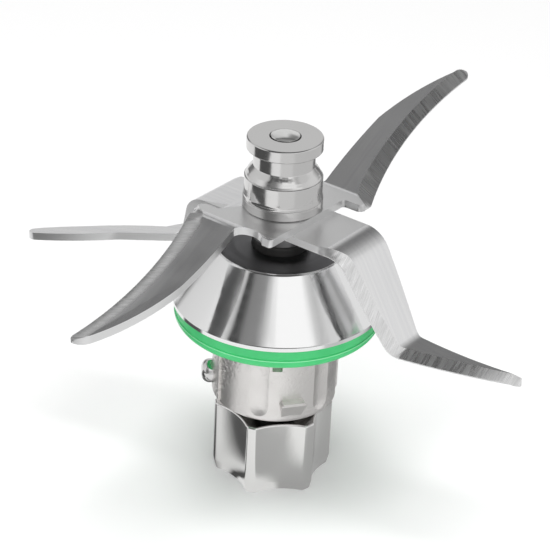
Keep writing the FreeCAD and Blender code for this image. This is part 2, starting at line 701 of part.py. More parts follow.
def make_housing():
    bore = "(spec.bearing_radius + spec.fit_gap)"
    pocket_radius = "(spec.seal_radius + spec.fit_gap)"
    clip_groove = f"({bore} + spec.clip_depth)"
    clip_high = BEARING_LOW
    clip_low = f"({BEARING_LOW} - spec.clip_thickness - 2 * spec.clip_side_gap)"
    foot_top = f"({HOUSING_LOW} + spec.body_foot_height)"
    foot_radius = f"({bore} + spec.body_foot_land)"
    foot_wide = f"(spec.body_radius - {foot_radius})"
    body = turned("housing_casting", [
        (bore, HOUSING_LOW),
        (foot_radius, HOUSING_LOW,
         f"spec.body_radius - {foot_wide} * {SHORT}", f"{foot_top} - spec.body_foot_height * {LONG}"),
        ("spec.body_radius", foot_top),
        ("spec.body_radius", FLANGE_LOW),
        ("spec.flange_radius - spec.flange_edge", FLANGE_LOW),
        ("spec.flange_radius", f"{FLANGE_LOW} + spec.flange_edge"),
        ("spec.flange_radius", f"{BAND_TOP} - spec.flange_edge"),
        ("spec.flange_radius - spec.flange_edge", BAND_TOP),
        ("spec.cone_top_radius + spec.cone_edge_reach", f"{CONE_TOP} - spec.cone_top_edge"),
        ("spec.cone_top_radius - spec.cone_top_edge", CONE_TOP),
        (f"{pocket_radius} + spec.cone_dish", f"{CONE_TOP} - spec.cone_dish"),
        (pocket_radius, f"{CONE_TOP} - spec.cone_dish * 2"),
        (pocket_radius, BEARING_SEAT),
        (bore, BEARING_SEAT),
        (bore, clip_high),
        (clip_groove, clip_high),
        (clip_groove, clip_low),
        (bore, clip_low),
    ])
    lug_low = f"({HOUSING_LOW} + spec.lug_level)"
    lug_root = "(spec.body_radius - spec.lug_root)"
    sections = []
    for name, height, width, reach in (
        ("lug_foot", "0", "spec.lug_foot_width", "-spec.lug_foot_inset"),
        ("lug_middle", "(spec.lug_height - spec.lug_shoulder)", "spec.lug_width", "spec.lug_reach"),
        ("lug_top", "spec.lug_height", "spec.lug_top_width", "spec.lug_reach"),
    ):
        section = new_sketch(body, name, "XY_Plane", f"{lug_low} + {height}")
        end = f"(spec.body_radius + {reach})"
        draw(section, [(lug_root, f"-{width} / 2"), (end, f"-{width} / 2"),
                       (end, f"{width} / 2"), (lug_root, f"{width} / 2")])
        sections.append(section)
    first = body.newObject("PartDesign::AdditiveLoft", "lug")
    first.Profile = sections[0]
    first.Sections = [(section, [""]) for section in sections[1:]]
    first.Ruled = True
    doc.recompute()
    pair = body.newObject("PartDesign::PolarPattern", "lug_pair")
    pair.Originals = [first]
    for feature in body.Origin.OriginFeatures:
        if feature.Role == "Z_Axis":
            pair.Axis = (feature, [""])
    pair.Angle = 360
    pair.Occurrences = 2
    body.Tip = pair
    doc.recompute()
    relief_height = "(spec.body_height - spec.relief_head)"
    channel_low = f"({HOUSING_LOW} + spec.channel_level)"
    channels = new_sketch(body, "channel_outlines", "XY_Plane", channel_low)
    panels = new_sketch(body, "panel_outlines", "XY_Plane", HOUSING_LOW)
    centre = "spec.body_radius - spec.channel_depth + spec.channel_radius"
    channel_sides = ("spec.channel_angle", "-spec.channel_angle",
                     "180 + spec.channel_angle", "180 - spec.channel_angle")
    for side in channel_sides:
        draw_circle(channels, *polar(centre, side), "spec.channel_radius")
    beyond = "spec.body_radius + spec.lug_reach"
    for turn, sign in (("0", ""), ("0", "-"), ("180", ""), ("180", "-")):
        start = f"{turn} + ({sign}spec.panel_start)"
        end = f"{turn} + ({sign}spec.panel_end)"
        draw(panels, arc_sector(start, end, "spec.body_radius - spec.panel_depth", beyond))
    pocket(body, channels, "channels", f"{relief_height} - spec.channel_level")
    pocket(body, panels, "panels", relief_height)
    notch = new_sketch(body, "notch_outline", "XY_Plane", f"{FLANGE_LOW} - spec.notch_drop")
    half = "(spec.notch_width / spec.body_radius / 2 * 180 / pi)"
    draw(notch, arc_sector(f"-spec.notch_angle - {half}", f"-spec.notch_angle + {half}",
                           "spec.body_radius - spec.notch_depth", beyond))
    pocket(body, notch, "notch", "spec.notch_drop - spec.relief_head")

    seats = []
    for name, radius, start in (
        ("pin_hole", "spec.pin_shank + spec.fit_gap", "spec.body_radius - spec.pin_depth"),
        ("pin_spotface", "spec.pin_radius + spec.fit_gap", "spec.body_radius - spec.pin_seat"),
    ):
        tool = doc.addObject("Part::Cylinder", name)
        tool.setExpression("Radius", radius)
        tool.setExpression("Height", "spec.body_radius")
        lay_on_pin_axis(tool, start)
        seats.append(tool)
    for number, side in enumerate(channel_sides, 1):
        ball = doc.addObject("Part::Sphere", f"channel_end_{number}")
        ball.Angle2 = 0
        ball.setExpression("Radius", "spec.channel_radius")
        for axis, text in zip("xy", polar(centre, side)):
            ball.setExpression(f"Placement.Base.{axis}", text)
        ball.setExpression("Placement.Base.z", channel_low)
        seats.append(ball)
    tools = doc.addObject("Part::MultiFuse", "seats_and_channel_ends")
    tools.Shapes = seats
    housing = doc.addObject("Part::Cut", "bearing_housing")
    housing.Base = body
    housing.Tool = tools
    turn_about_axis(housing, "spec.housing_azimuth")
    keep(housing, "bearing_housing")


def lay_on_pin_axis(item, start):
    """Turns a piece made along Z onto the index pin's axis, at a distance from the shaft's axis."""
    turned_to = Rotation(Vector(0, 0, 1), -size("spec.pin_angle")).multiply(Rotation(Vector(0, 1, 0), 90))
    item.Placement = Placement(Vector(), turned_to)
    for axis, text in zip("xy", polar(start, "-spec.pin_angle")):
        item.setExpression(f"Placement.Base.{axis}", text)
    item.setExpression("Placement.Base.z", f"{HOUSING_LOW} + spec.pin_level")


def make_index_pin():
    depth = "(spec.pin_depth - spec.pin_seat)"
    head = f"({depth} + spec.pin_seat + spec.pin_reach)"
    rim = f"({head} - spec.pin_dome)"
    round_middle = f"spec.pin_radius - (spec.pin_radius - spec.pin_flat) * {SHORT}"
    body = turned("pin_turning", [
        ("0", "0"), ("spec.pin_shank", "0"), ("spec.pin_shank", depth), ("spec.pin_radius", depth),
        ("spec.pin_radius", rim, round_middle, f"{rim} + spec.pin_dome * {LONG}"),
        ("spec.pin_flat", head), ("0", head)])
    axis = doc.addObject("Part::Compound", "pin_on_its_axis")
    axis.Links = [body]
    lay_on_pin_axis(axis, "spec.body_radius - spec.pin_depth")
    pin = doc.addObject("Part::Compound", "index_pin")
    pin.Links = [axis]
    turn_about_axis(pin, "spec.housing_azimuth")
    keep(pin, "index_pin")


# Gasket, seal and retaining ring

def make_gasket():
    inner = "(spec.body_radius + spec.fit_gap)"
    rim = "(spec.gasket_radius - spec.gasket_rim)"
    low = f"({FLANGE_LOW} - spec.gasket_height)"
    split = f"({FLANGE_LOW} - spec.gasket_split)"
    groove = "spec.gasket_groove"
    web = f"({FLANGE_LOW} - spec.gasket_web)"
    body = turned("flange_gasket", [
        (inner, web),
        (rim, web),
        (rim, f"{low} + {groove}"),
        (f"{rim} + {groove}", low),
        (f"spec.gasket_lip_radius - {groove} * 2", low,
         "spec.gasket_lip_radius + spec.gasket_bulge", f"{low} + spec.gasket_bulge_height"),
        ("spec.gasket_radius", f"{split} - {groove} / 2"),
        (f"spec.gasket_radius - {groove}", split),
        (f"spec.gasket_radius - {groove} / 2", f"{split} + {groove} / 2"),
        (f"spec.gasket_radius - {groove}", FLANGE_LOW),
        (inner, FLANGE_LOW),
    ])
    keep(body, "flange_gasket")


def make_seal():
    lip = "(spec.collar_radius + spec.run_gap)"
    relief = f"({lip} + spec.seal_lip / 2)"
    low = f"({BEARING_SEAT} + spec.seal_foot)"
    top = f"({CONE_TOP} + spec.seal_proud)"
    step = f"({CONE_TOP} - spec.cone_dish * 2)"
    edge = "spec.seal_edge"
    body = turned("shaft_seal", [
        (relief, low), ("spec.seal_radius", low), ("spec.seal_radius", f"{step} - {edge}"),
        ("spec.seal_neck", step), ("spec.seal_neck", f"{top} - {edge}"),
        (f"spec.seal_neck - {edge}", top), (f"{lip} + {edge} / 2", top), (lip, f"{top} - {edge}"),
        (lip, f"{top} - {edge} - spec.seal_lip"), (relief, f"{top} - {edge} - spec.seal_hollow")])
    keep(body, "shaft_seal")


def make_retaining_ring():
    body = new_body("retaining_ring")
    low = f"({BEARING_LOW} - spec.clip_side_gap - spec.clip_thickness)"
    outer = "(spec.bearing_radius + spec.clip_depth - spec.fit_gap)"
    inner = f"({outer} - spec.clip_width)"
    outline = new_sketch(body, "ring_outline", "XY_Plane", low)
    eye_inner = f"({outer} - spec.clip_eye_width)"
    eye_turn = "(spec.clip_opening + spec.clip_eye_end)"
    start = "spec.clip_opening"
    half = "180"
    draw(outline, [
        polar(eye_inner, start),
        polar(outer, start) + polar(outer, half),
        polar(outer, f"360 - {start}"),
        polar(eye_inner, f"360 - {start}"),
        polar(eye_inner, f"360 - {eye_turn}"),
        polar(inner, f"360 - {eye_turn} - spec.clip_run_out") + polar(inner, half),
        polar(inner, f"{eye_turn} + spec.clip_run_out"),
        polar(eye_inner, eye_turn),
    ])
    pad(body, outline, "ring", "spec.clip_thickness")
    eyes = new_sketch(body, "eye_outlines", "XY_Plane", low)
    middle = f"({outer} - spec.clip_eye_width / 2)"
    for angle in (f"{start} + spec.clip_eye_angle", f"-{start} - spec.clip_eye_angle"):
        draw_circle(eyes, *polar(middle, angle), "spec.clip_eye")
    pocket(body, eyes, "eyes", "spec.clip_thickness")
    keep(body, "retaining_ring")


# Knob: turned, with a groove under its head

def make_knob():
    bore = "(spec.spigot_radius + spec.fit_gap)"
    head_low = f"({KNOB_TOP} - spec.head_height)"
    neck_low = f"({head_low} - spec.neck_height)"
    band_top = f"({neck_low} - spec.flare_height)"
    band_low = f"({band_top} - spec.band_height)"
    sleeve_low = f"({band_low} - spec.sleeve_height)"
    line = f"({UPPER_FACE} + spec.skirt_line)"
    groove = "spec.knob_groove"
    edge = "spec.head_edge"
    mouth = f"({bore} + spec.knob_mouth)"
    body = turned("top_knob", [
        (bore, UPPER_FACE),
        (f"spec.skirt_radius - {edge}", UPPER_FACE),
        ("spec.skirt_radius", f"{UPPER_FACE} + {edge}"),
        ("spec.skirt_radius", f"{line} - {groove}"),
        (f"spec.skirt_radius - {groove}", line),
        ("spec.skirt_radius", f"{line} + {groove}"),
        ("spec.sleeve_radius", sleeve_low),
        ("spec.sleeve_radius", f"{band_low} - {groove}"),
        (f"spec.band_radius - {groove}", band_low),
        ("spec.band_radius", f"{band_low} + {groove}"),
        ("spec.band_head_radius", f"{band_top} - {groove}"),
        (f"spec.band_head_radius - {groove}", f"{band_top} + {groove}"),
        ("spec.neck_radius", neck_low),
        ("spec.neck_radius", f"{head_low} - {edge}"),
        (f"spec.neck_radius + {edge}", head_low),
        (f"spec.head_radius - {edge}", head_low),
        ("spec.head_radius", f"{head_low} + {edge}"),
        ("spec.head_radius", f"{KNOB_TOP} - {edge}"),
        (f"spec.head_radius - {edge}", KNOB_TOP),
        (mouth, KNOB_TOP),
        (mouth, f"{KNOB_TOP} - spec.knob_mouth_depth"),
        (bore, f"{KNOB_TOP} - spec.knob_mouth_depth - spec.knob_mouth"),
    ])
    keep(body, "top_knob")


# Blades: sheet bent to its side outline, trimmed to its plan outline and ground to a bevel. Each is drawn
# along X and then turned. In an arm's own frame x runs outwards and the leading, cutting side has
# negative y. The arm on -X is drawn in the same frame and turned by half a turn.

def numbers(texts):
    return tuple(size(text) for text in texts)


def arc_height(points, x):
    """Y at x of the arc through three points."""
    start, via, end = (Vector(p[0], p[1], 0) for p in points)
    arc = Part.ArcOfCircle(start, via, end)
    rise = math.sqrt(max(arc.Radius ** 2 - (x - arc.Center.x) ** 2, 0))
    return arc.Center.y + math.copysign(rise, via.y - arc.Center.y)


def opposite(corners):
    """The same corners after half a turn."""
    return [tuple(f"-({text})" for text in corner) for corner in corners]


def bend(body, name, corner, radius):
    """Rounds the bend line that passes through a corner of the side outline."""
    x, z = numbers(corner)

    def wanted(edge, middle):
        across = abs(edge.Vertexes[0].Y - edge.Vertexes[-1].Y) > size("spec.sheet")
        return across and abs(middle.x - x) < CLOSE and abs(middle.z - z) < CLOSE

    soften(body, "Fillet", name, wanted, "Radius", radius)


def trim(body, name, corners):
    """Removes everything outside the plan outline."""
    sketch = new_sketch(body, f"{name}_outline", "XY_Plane")
    side = "(spec.left_reach + spec.right_reach)"
    draw(sketch, [(f"-{side}", f"-{side}"), (side, f"-{side}"), (side, side), (f"-{side}", side)])
    draw(sketch, corners)
    pocket(body, sketch, name)


def grinding_tool(name, stations, sign):
    """Solid that cuts a bevel. A station is (x, z, slope, cutting edge's y, ridge's y) on the top face."""
    sections = []
    thick, land = size("spec.sheet"), size("spec.edge_land")
    lift, reach = size("spec.grind_lift"), size("spec.trim_margin")
    below, above = size("spec.grind_below"), size("spec.grind_above")
    for x, z, slope, edge_y, ridge_y in stations:
        tilt = math.radians(slope)
        normal = Vector(math.sin(tilt), 0, math.cos(tilt))
        ridge = Vector(x, ridge_y, z)
        low = Vector(x, edge_y, z) - normal * (thick - land)
        run = ridge - low
        outside = low - Vector(0, reach, 0) + normal * (thick + lift)
        corners = [low - run * below, ridge + run * above, outside]
        corners = [Vector(p.x * sign, p.y * sign, p.z) for p in corners]
        sections.append(Part.makePolygon(corners + corners[:1]))
    tool = doc.addObject("Part::Feature", name)
    tool.Shape = Part.makeLoft(sections, True, True)
    return tool


def ground_sheet(name, body, tools, azimuth):
    """Cuts the bevels from the trimmed sheet and turns it to its place."""
    group = doc.addObject("Part::Compound", f"{name}_bevels")
    group.Links = tools
    blade = doc.addObject("Part::Cut", name)
    blade.Base = body
    blade.Tool = group
    turn_about_axis(blade, azimuth)
    keep(blade, name)


# Upper blade: one arm rises, the other falls. Each arm has an outline of its own, as seen from above.

def upper_side_corners():
    level, thick, fold = UPPER_FACE, "spec.sheet", "spec.upper_fold"
    reach = "(spec.arm_end + spec.trim_margin)"
    fall, rise = "spec.fall_angle", "spec.rise_angle"
    return [
        (f"-{reach}", f"{level} - ({reach} - {fold}) * tan({fall})"),
        (f"-{reach}", f"{level} - ({reach} - {fold}) * tan({fall}) - {thick} / cos({fall})"),
        (f"-({fold} - {thick} * tan({fall} / 2))", f"{level} - {thick}"),
        (f"{fold} + {thick} * tan({rise} / 2)", f"{level} - {thick}"),
        (reach, f"{level} + ({reach} - {fold}) * tan({rise}) - {thick} / cos({rise})"),
        (reach, f"{level} + ({reach} - {fold}) * tan({rise})"),
        (fold, level),
        (f"-{fold}", level),
    ]


def arm_corner(arm, name):
    """Corner or middle point of an arm's outline, from the sheet."""
    return f"spec.{arm}_{name}_x", f"spec.{arm}_{name}_y"


def arm_corners(arm, *names):
    return tuple(arm_corner(arm, name) for name in names)


def upper_half_outline(arm):
    """Plan outline of one half, from the plate's leading side round the arm to its trailing side."""
    lead_root, lead_middle, lead_tip, nose, nose_end, tip_middle, tip = arm_corners(
        arm, "lead_0", "lead_1", "lead_2", "nose_1", "nose_2", "trail_5", "trail_4")
    trail_3, trail_2, trail_1, trail_0 = arm_corners(arm, "trail_3", "trail_2", "trail_1", "trail_0")
    half, fold = "spec.upper_half_width", "spec.upper_fold"
    ear, root = "(spec.upper_fold - spec.ear_length)", "spec.ear_reach"
    relief, soft = "spec.relief_radius", "spec.ear_radius"
    return [
        (f"{ear} - {relief}", f"-{half}", f"{ear} - {relief} * {SHORT}", f"-{half} - {relief} * {SHORT}"),
        (ear, f"-{half} - {relief}"),
        (ear, f"-{root} + {soft}", f"{ear} + {soft} * {SHORT}", f"-{root} + {soft} * {SHORT}"),
        (f"{ear} + {soft}", f"-{root}"),
        lead_root + lead_middle,
        lead_tip + nose,
        nose_end + tip_middle,
        tip + trail_3,
        trail_2 + trail_1,
        trail_0 + (f"{fold} - spec.relief_depth", "spec.relief_depth"),
        (fold, "spec.relief_end"),
        (fold, f"{half} - {relief}", f"{fold} - {relief} * {SHORT}", f"{half} - {relief} * {SHORT}"),
        (f"{fold} - {relief}", half),
    ]


UPPER_STEPS = 12       # stations along an upper arm
UPPER_NARROWING = 7    # station at which the bevel has its tip width


def upper_stations(arm, slope):
    """Stations of an upper arm's bevel. The slope is how steeply the arm falls."""
    angle, level, thick = size(slope), size(UPPER_FACE), size("spec.sheet")
    tilt = math.radians(angle)
    lead = [numbers(pair) for pair in arm_corners(arm, "lead_0", "lead_1", "lead_2")]
    fold, tip = lead[0][0], lead[2][0]
    root_width, tip_width = numbers((f"spec.{arm}_grind_root", f"spec.{arm}_grind_tip"))
    fold_width = size(f"spec.{arm}_grind_fold")
    stations = []
    for step in range(-1, UPPER_STEPS + 2):
        x = fold + (tip - fold) * step / UPPER_STEPS
        edge = arc_height(lead, max(x - thick * math.sin(tilt), fold))
        narrowing = math.sin(math.pi / 2 * min(step / UPPER_NARROWING, 1))
        width = root_width + (tip_width - root_width) * narrowing
        if step <= 0:
            width = fold_width if step == 0 else -size("spec.grind_run_out")
        height = level - max(x - fold, 0) * math.tan(tilt)
        stations.append((x, height, angle if step > 0 else angle / 2, edge, edge + width))
    return stations


def make_upper_blade():
    body = new_body("upper_blank")
    side = new_sketch(body, "upper_side", "XZ_Plane")
    corners = upper_side_corners()
    draw(side, corners)
    pad(body, side, "upper_band", BLANK_WIDTH, symmetric=True)
    inside, outside = "spec.bend_radius", "spec.bend_radius + spec.sheet"
    bend(body, "fall_outside", corners[7], outside)
    bend(body, "fall_inside", corners[2], inside)
    bend(body, "rise_outside", corners[3], outside)
    bend(body, "rise_inside", corners[6], inside)
    trim(body, "upper_trim", upper_half_outline("rise") + opposite(upper_half_outline("fall")))
    hole = new_sketch(body, "upper_hole_outline", "XY_Plane")
    draw(hole, double_d("spec.shaft_radius + spec.fit_gap", "spec.flat_distance + spec.fit_gap"))
    pocket(body, hole, "upper_hole")
    tools = [grinding_tool("rise_bevel", upper_stations("rise", "-spec.rise_angle"), 1),
             grinding_tool("fall_bevel", upper_stations("fall", "spec.fall_angle"), -1)]
    ground_sheet("upper_blade", body, tools, "spec.blade_azimuth")


# Lower blade: both arms drop steeply and then run outwards, one further down than the other.

def lower_side_corners(fold, angle, drop, slope, reach):
    """Corners of one lower arm seen from the side: those of the top face, then those of the lower face."""
    thick = "spec.sheet"
    knee_x = f"({fold} + {drop} / tan({angle}))"
    knee_z = f"({LOWER_FACE} - {drop})"
    far = f"({reach} + spec.trim_margin)"
    far_z = f"({knee_z} - ({far} - {knee_x}) * tan({slope}))"
    mean, spread = f"(({angle} + {slope}) / 2)", f"(({angle} - {slope}) / 2)"
    top = [(fold, LOWER_FACE), (knee_x, knee_z), (far, far_z)]
    low = [(f"({fold} - {thick} * tan({angle} / 2))", BLADE_SEAT),
           (f"({knee_x} - {thick} * sin({mean}) / cos({spread}))",
            f"({knee_z} - {thick} * cos({mean}) / cos({spread}))"),
           (far, f"({far_z} - {thick} / cos({slope}))")]
    return top, low


BEND_STEPS = 5    # stations round a bend
ARM_STEPS = 8     # stations along the arm after its bends


def lower_path(fold, angle, drop, slope, reach, radius):
    """Points (x, z, slope) along a lower arm's top face, close together in the two bends."""
    fold, angle, drop, slope, reach, radius = numbers((fold, angle, drop, slope, reach, radius))
    level, inner = size(LOWER_FACE), size("spec.foot_bend")
    steep, gentle = math.radians(angle), math.radians(slope)
    tangent = radius * math.tan(steep / 2)
    path = [(fold - tangent - inner, level, 0), (fold - tangent, level, 0)]
    for step in range(1, BEND_STEPS + 1):
        turn = steep * step / BEND_STEPS
        path.append((fold - tangent + radius * math.sin(turn), level - radius * (1 - math.cos(turn)),
                     math.degrees(turn)))
    knee_x, knee_z = fold + drop / math.tan(steep), level - drop
    back = inner * math.tan((steep - gentle) / 2)
    start_x, start_z = knee_x - back * math.cos(steep), knee_z + back * math.sin(steep)
    before_x, before_z = path[-1][0], path[-1][1]
    path.append(((before_x + start_x) / 2, (before_z + start_z) / 2, angle))
    for step in range(BEND_STEPS + 1):
        turn = steep - (steep - gentle) * step / BEND_STEPS
        path.append((start_x + inner * (math.sin(steep) - math.sin(turn)),
                     start_z - inner * (math.cos(turn) - math.cos(steep)), math.degrees(turn)))
    knee_end_x, knee_end_z = path[-1][0], path[-1][1]
    end = reach + size("spec.path_margin")
    for step in range(1, ARM_STEPS + 1):
        x = knee_end_x + (end - knee_end_x) * step / ARM_STEPS
        path.append((x, knee_end_z - (x - knee_end_x) * math.tan(gentle), slope))
    return path


def lower_stations(path, lead, widths):
    """Stations of a lower arm's bevel along a path. Widths are (x, width) pairs."""
    points = [numbers(corner) for corner in lead]
    thick = size("spec.sheet")
    stations = []
    for x, z, slope in path:
        under = max(x - thick * math.sin(math.radians(slope)), points[0][0])
        first = 0
        while first + 4 < len(points) and under > points[first + 2][0]:
            first += 2
        edge = arc_height(points[first:first + 3], under)
        width = widths[-1][1]
        for (x0, w0), (x1, w1) in zip(widths, widths[1:]):
            if x < x1:
                width = w0 + (w1 - w0) * max(x - x0, 0) / (x1 - x0)
                break
        stations.append((x, z, slope, edge, edge + width))
    return stations


RIGHT = ("spec.right_fold", "spec.right_angle", "spec.right_drop", "spec.right_slope", "spec.right_reach")
LEFT = ("spec.left_fold", "spec.left_angle", "spec.left_drop", "spec.left_slope", "spec.left_reach")


def make_lower_blade():
    body = new_body("lower_blank")
    side = new_sketch(body, "lower_side", "XZ_Plane")
    right_top, right_low = lower_side_corners(*RIGHT)
    left_top, left_low = lower_side_corners(*LEFT)
    mirrored = [[(f"-({x})", z) for x, z in corners] for corners in (left_top, left_low)]
    draw(side, right_top + right_low[::-1] + mirrored[1] + mirrored[0][::-1])
    pad(body, side, "lower_band", BLANK_WIDTH, symmetric=True)
    right_out, left_out = "spec.right_bend + spec.sheet", "spec.left_bend + spec.sheet"
    foot, foot_out = "spec.foot_bend", "spec.foot_bend + spec.sheet"
    bend(body, "right_outside", right_top[0], right_out)
    bend(body, "right_inside", right_low[0], "spec.right_bend")
    bend(body, "right_foot_inside", right_top[1], foot)
    bend(body, "right_foot_outside", right_low[1], foot_out)
    bend(body, "left_outside", mirrored[0][0], left_out)
    bend(body, "left_inside", mirrored[1][0], "spec.left_bend")
    bend(body, "left_foot_inside", mirrored[0][1], foot)
    bend(body, "left_foot_outside", mirrored[1][1], foot_out)
    root, end = ("spec.lower_root", "-spec.lower_half_width"), ("spec.lower_root", "spec.lower_half_width")
    right_lead = (root,) + arm_corners("right", "lead_1", "lead_2", "lead_3", "lead_4")
    left_lead = (root,) + arm_corners(
        "left", "lead_1", "lead_2", "lead_3", "lead_4", "lead_5", "lead_6")
    right_outline = [
        right_lead[0] + right_lead[1], right_lead[2] + right_lead[3],
        right_lead[4] + arm_corner("right", "nose_1"),
        arm_corner("right", "trail_4") + arm_corner("right", "trail_3"),
        arm_corner("right", "trail_2") + arm_corner("right", "trail_1"),
        end,
    ]
    left_outline = [
        left_lead[0] + left_lead[1], left_lead[2] + left_lead[3], left_lead[4] + left_lead[5],
        left_lead[6] + arm_corner("left", "nose_1"),
        arm_corner("left", "nose_2") + arm_corner("left", "trail_5"),
        arm_corner("left", "trail_4") + arm_corner("left", "trail_3"),
        arm_corner("left", "trail_2"),
        end,
    ]
    trim(body, "lower_trim", right_outline + opposite(left_outline))
    hole = new_sketch(body, "lower_hole_outline", "XY_Plane")
    corners = double_d("spec.shaft_radius + spec.fit_gap", "spec.flat_distance + spec.fit_gap")
    across = [(c[1], c[0]) + ((c[3], c[2]) if len(c) == 4 else ()) for c in corners]
    draw(hole, across)
    pocket(body, hole, "lower_hole")
    right_widths = [numbers(pair) for pair in (
        ("spec.right_fold - spec.right_grind_start", "-spec.grind_run_out"),
        ("spec.right_fold", "spec.right_grind_root"),
        ("spec.right_reach - spec.grind_tip_margin", "spec.lower_grind"),
        ("spec.right_reach", "spec.right_grind_tip"),
    )]
    left_widths = [numbers(pair) for pair in (
        ("spec.left_fold - spec.left_grind_start", "-spec.grind_run_out"),
        ("spec.left_fold", "spec.left_grind_root"),
        ("spec.left_fold + spec.left_grind_full", "spec.lower_grind"),
        ("spec.left_reach - spec.grind_tip_margin", "spec.lower_grind"),
        ("spec.left_reach", "spec.left_grind_tip"),
    )]
    right_stations = lower_stations(lower_path(*RIGHT, right_out), right_lead, right_widths)
    left_stations = lower_stations(lower_path(*LEFT, left_out), left_lead, left_widths)
    tools = [grinding_tool("right_bevel", right_stations, 1),
             grinding_tool("left_bevel", left_stations, -1)]
    ground_sheet("lower_blade", body, tools, "spec.blade_azimuth - 90")


make_coupling()
make_shaft()
make_shaft_hardware()
make_bearing("upper", UPPER_MIDDLE)
make_bearing("lower", LOWER_MIDDLE)
make_housing()
make_index_pin()
make_gasket()
make_seal()
make_retaining_ring()
make_knob()
make_upper_blade()
make_lower_blade()
doc.recompute()

# Check every object, then write one file for each piece

for item in doc.Objects:
    if "Invalid" in item.State or "Error" in item.State:
        raise RuntimeError(f"{item.Label} failed: {item.State}")
for node in NODES:
    if node.Shape.isNull() or not node.Shape.isValid():
        raise RuntimeError(f"{node.Label} has no valid shape")
os.makedirs("parts", exist_ok=True)
for node in NODES:
    node.Shape.exportStep(os.path.join("parts", f"{node.Label}.step"))
    print(f"{node.Label}: {node.Shape.Volume:.1f} mm3, {len(node.Shape.Solids)} solid(s)")
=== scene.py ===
# %% [markdown]
# # The blade assembly of a food processor
#
# The CAD frame holds every real piece of the assembly: a turned knob, two crossed sheet blades, a bearing
# housing with a polished cone, a green gasket and a star-shaped coupling. This script gives those pieces
# their finishes, softens the edges that a factory would break, and sets them in a small studio.
#
# Everything is in metres. The Z axis is the shaft's axis and the coupling stands on the floor at Z = 0.

# %% Load the frame
import json
import math

import bmesh
import bpy
from mathutils import Matrix, Vector
from mathutils.bvhtree import BVHTree

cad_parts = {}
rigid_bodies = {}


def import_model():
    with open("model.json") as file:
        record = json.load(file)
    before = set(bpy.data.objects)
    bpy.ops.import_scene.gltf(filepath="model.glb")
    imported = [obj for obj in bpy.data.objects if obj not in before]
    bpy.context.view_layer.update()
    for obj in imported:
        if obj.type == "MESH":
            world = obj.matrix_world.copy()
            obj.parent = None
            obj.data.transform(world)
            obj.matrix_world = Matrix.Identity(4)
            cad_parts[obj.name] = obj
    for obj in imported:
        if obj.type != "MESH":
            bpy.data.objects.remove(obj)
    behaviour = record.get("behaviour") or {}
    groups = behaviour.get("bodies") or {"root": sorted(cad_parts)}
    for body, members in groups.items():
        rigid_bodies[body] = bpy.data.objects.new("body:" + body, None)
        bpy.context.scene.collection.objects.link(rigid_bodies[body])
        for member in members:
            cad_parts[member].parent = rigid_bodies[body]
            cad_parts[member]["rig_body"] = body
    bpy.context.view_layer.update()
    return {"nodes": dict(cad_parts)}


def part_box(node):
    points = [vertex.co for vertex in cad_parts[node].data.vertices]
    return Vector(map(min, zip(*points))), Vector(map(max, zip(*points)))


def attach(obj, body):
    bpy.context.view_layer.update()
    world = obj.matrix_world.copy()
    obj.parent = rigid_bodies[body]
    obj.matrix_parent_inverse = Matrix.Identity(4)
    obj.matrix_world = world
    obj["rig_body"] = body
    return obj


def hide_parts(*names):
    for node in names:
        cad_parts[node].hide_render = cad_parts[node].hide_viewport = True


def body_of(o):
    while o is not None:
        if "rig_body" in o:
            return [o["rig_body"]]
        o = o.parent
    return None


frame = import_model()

MM = 0.001

# %% [markdown]
# ## Where the camera stands
#
# The photograph was taken from about 30 degrees above the floor with a long lens, so the blades are
# hardly foreshortened. The camera could be aimed with a Track To constraint, but its three angles are
# known, so it is cheaper and more exact to multiply three rotations: turn, pitch and a slight roll.

# %% Camera
CAMERA_PLACE = Vector((0.0, -0.4121, 0.2889))
CAMERA_TURN = math.radians(-0.148)
CAMERA_PITCH = math.radians(29.409)
CAMERA_ROLL = math.radians(2.474)
LENS = 124.46           # in millimetres, as the sensor's width
SENSOR = 36.0
NEAREST, FARTHEST = 0.01, 20.0

camera_data = bpy.data.cameras.new("photo_camera")
camera_data.lens = LENS
camera_data.sensor_width = SENSOR
camera_data.clip_start, camera_data.clip_end = NEAREST, FARTHEST
camera = bpy.data.objects.new("photo_camera", camera_data)
bpy.context.scene.collection.objects.link(camera)
aim = Matrix.Rotation(-CAMERA_TURN, 4, "Z") @ Matrix.Rotation(math.pi / 2 - CAMERA_PITCH, 4, "X")
camera.matrix_world = Matrix.Translation(CAMERA_PLACE) @ aim @ Matrix.Rotation(CAMERA_ROLL, 4, "Z")
bpy.context.scene.camera = camera
bpy.context.scene.view_settings.view_transform = "Standard"
print("camera lens:", camera_data.lens)

# %% [markdown]
# ## A short way to write materials
#
# A shader is a graph of nodes. Written out in full, one finish takes dozens of lines, so a small helper
# adds a node and fills its sockets: a plain value is set on the socket, and another node's output is
# linked to it.

# %% Node helpers


def add_node(tree, kind, values=None, **settings):
    """Adds a node. Values are for its input sockets, by name or number, and settings for its properties."""
    made = tree.nodes.new(kind)
    for name, value in settings.items():
        setattr(made, name, value)
    for name, value in (values or {}).items():
        socket = made.inputs[name]
        if isinstance(value, bpy.types.NodeSocket):
            tree.links.new(value, socket)
        else:
            socket.default_value = value
    return made


def calculate(tree, operation, *values):
    """Output of a Math node."""
    return add_node(tree, "ShaderNodeMath", dict(enumerate(values)), operation=operation).outputs[0]


def object_place(tree):
    """Object coordinates, in metres from the shaft's axis and the floor."""
    return add_node(tree, "ShaderNodeTexCoord").outputs["Object"]


def distance_of(tree, x, y):
    """Distance from the shaft's axis."""
    squares = calculate(tree, "ADD", calculate(tree, "MULTIPLY", x, x), calculate(tree, "MULTIPLY", y, y))
    return calculate(tree, "SQRT", squares)


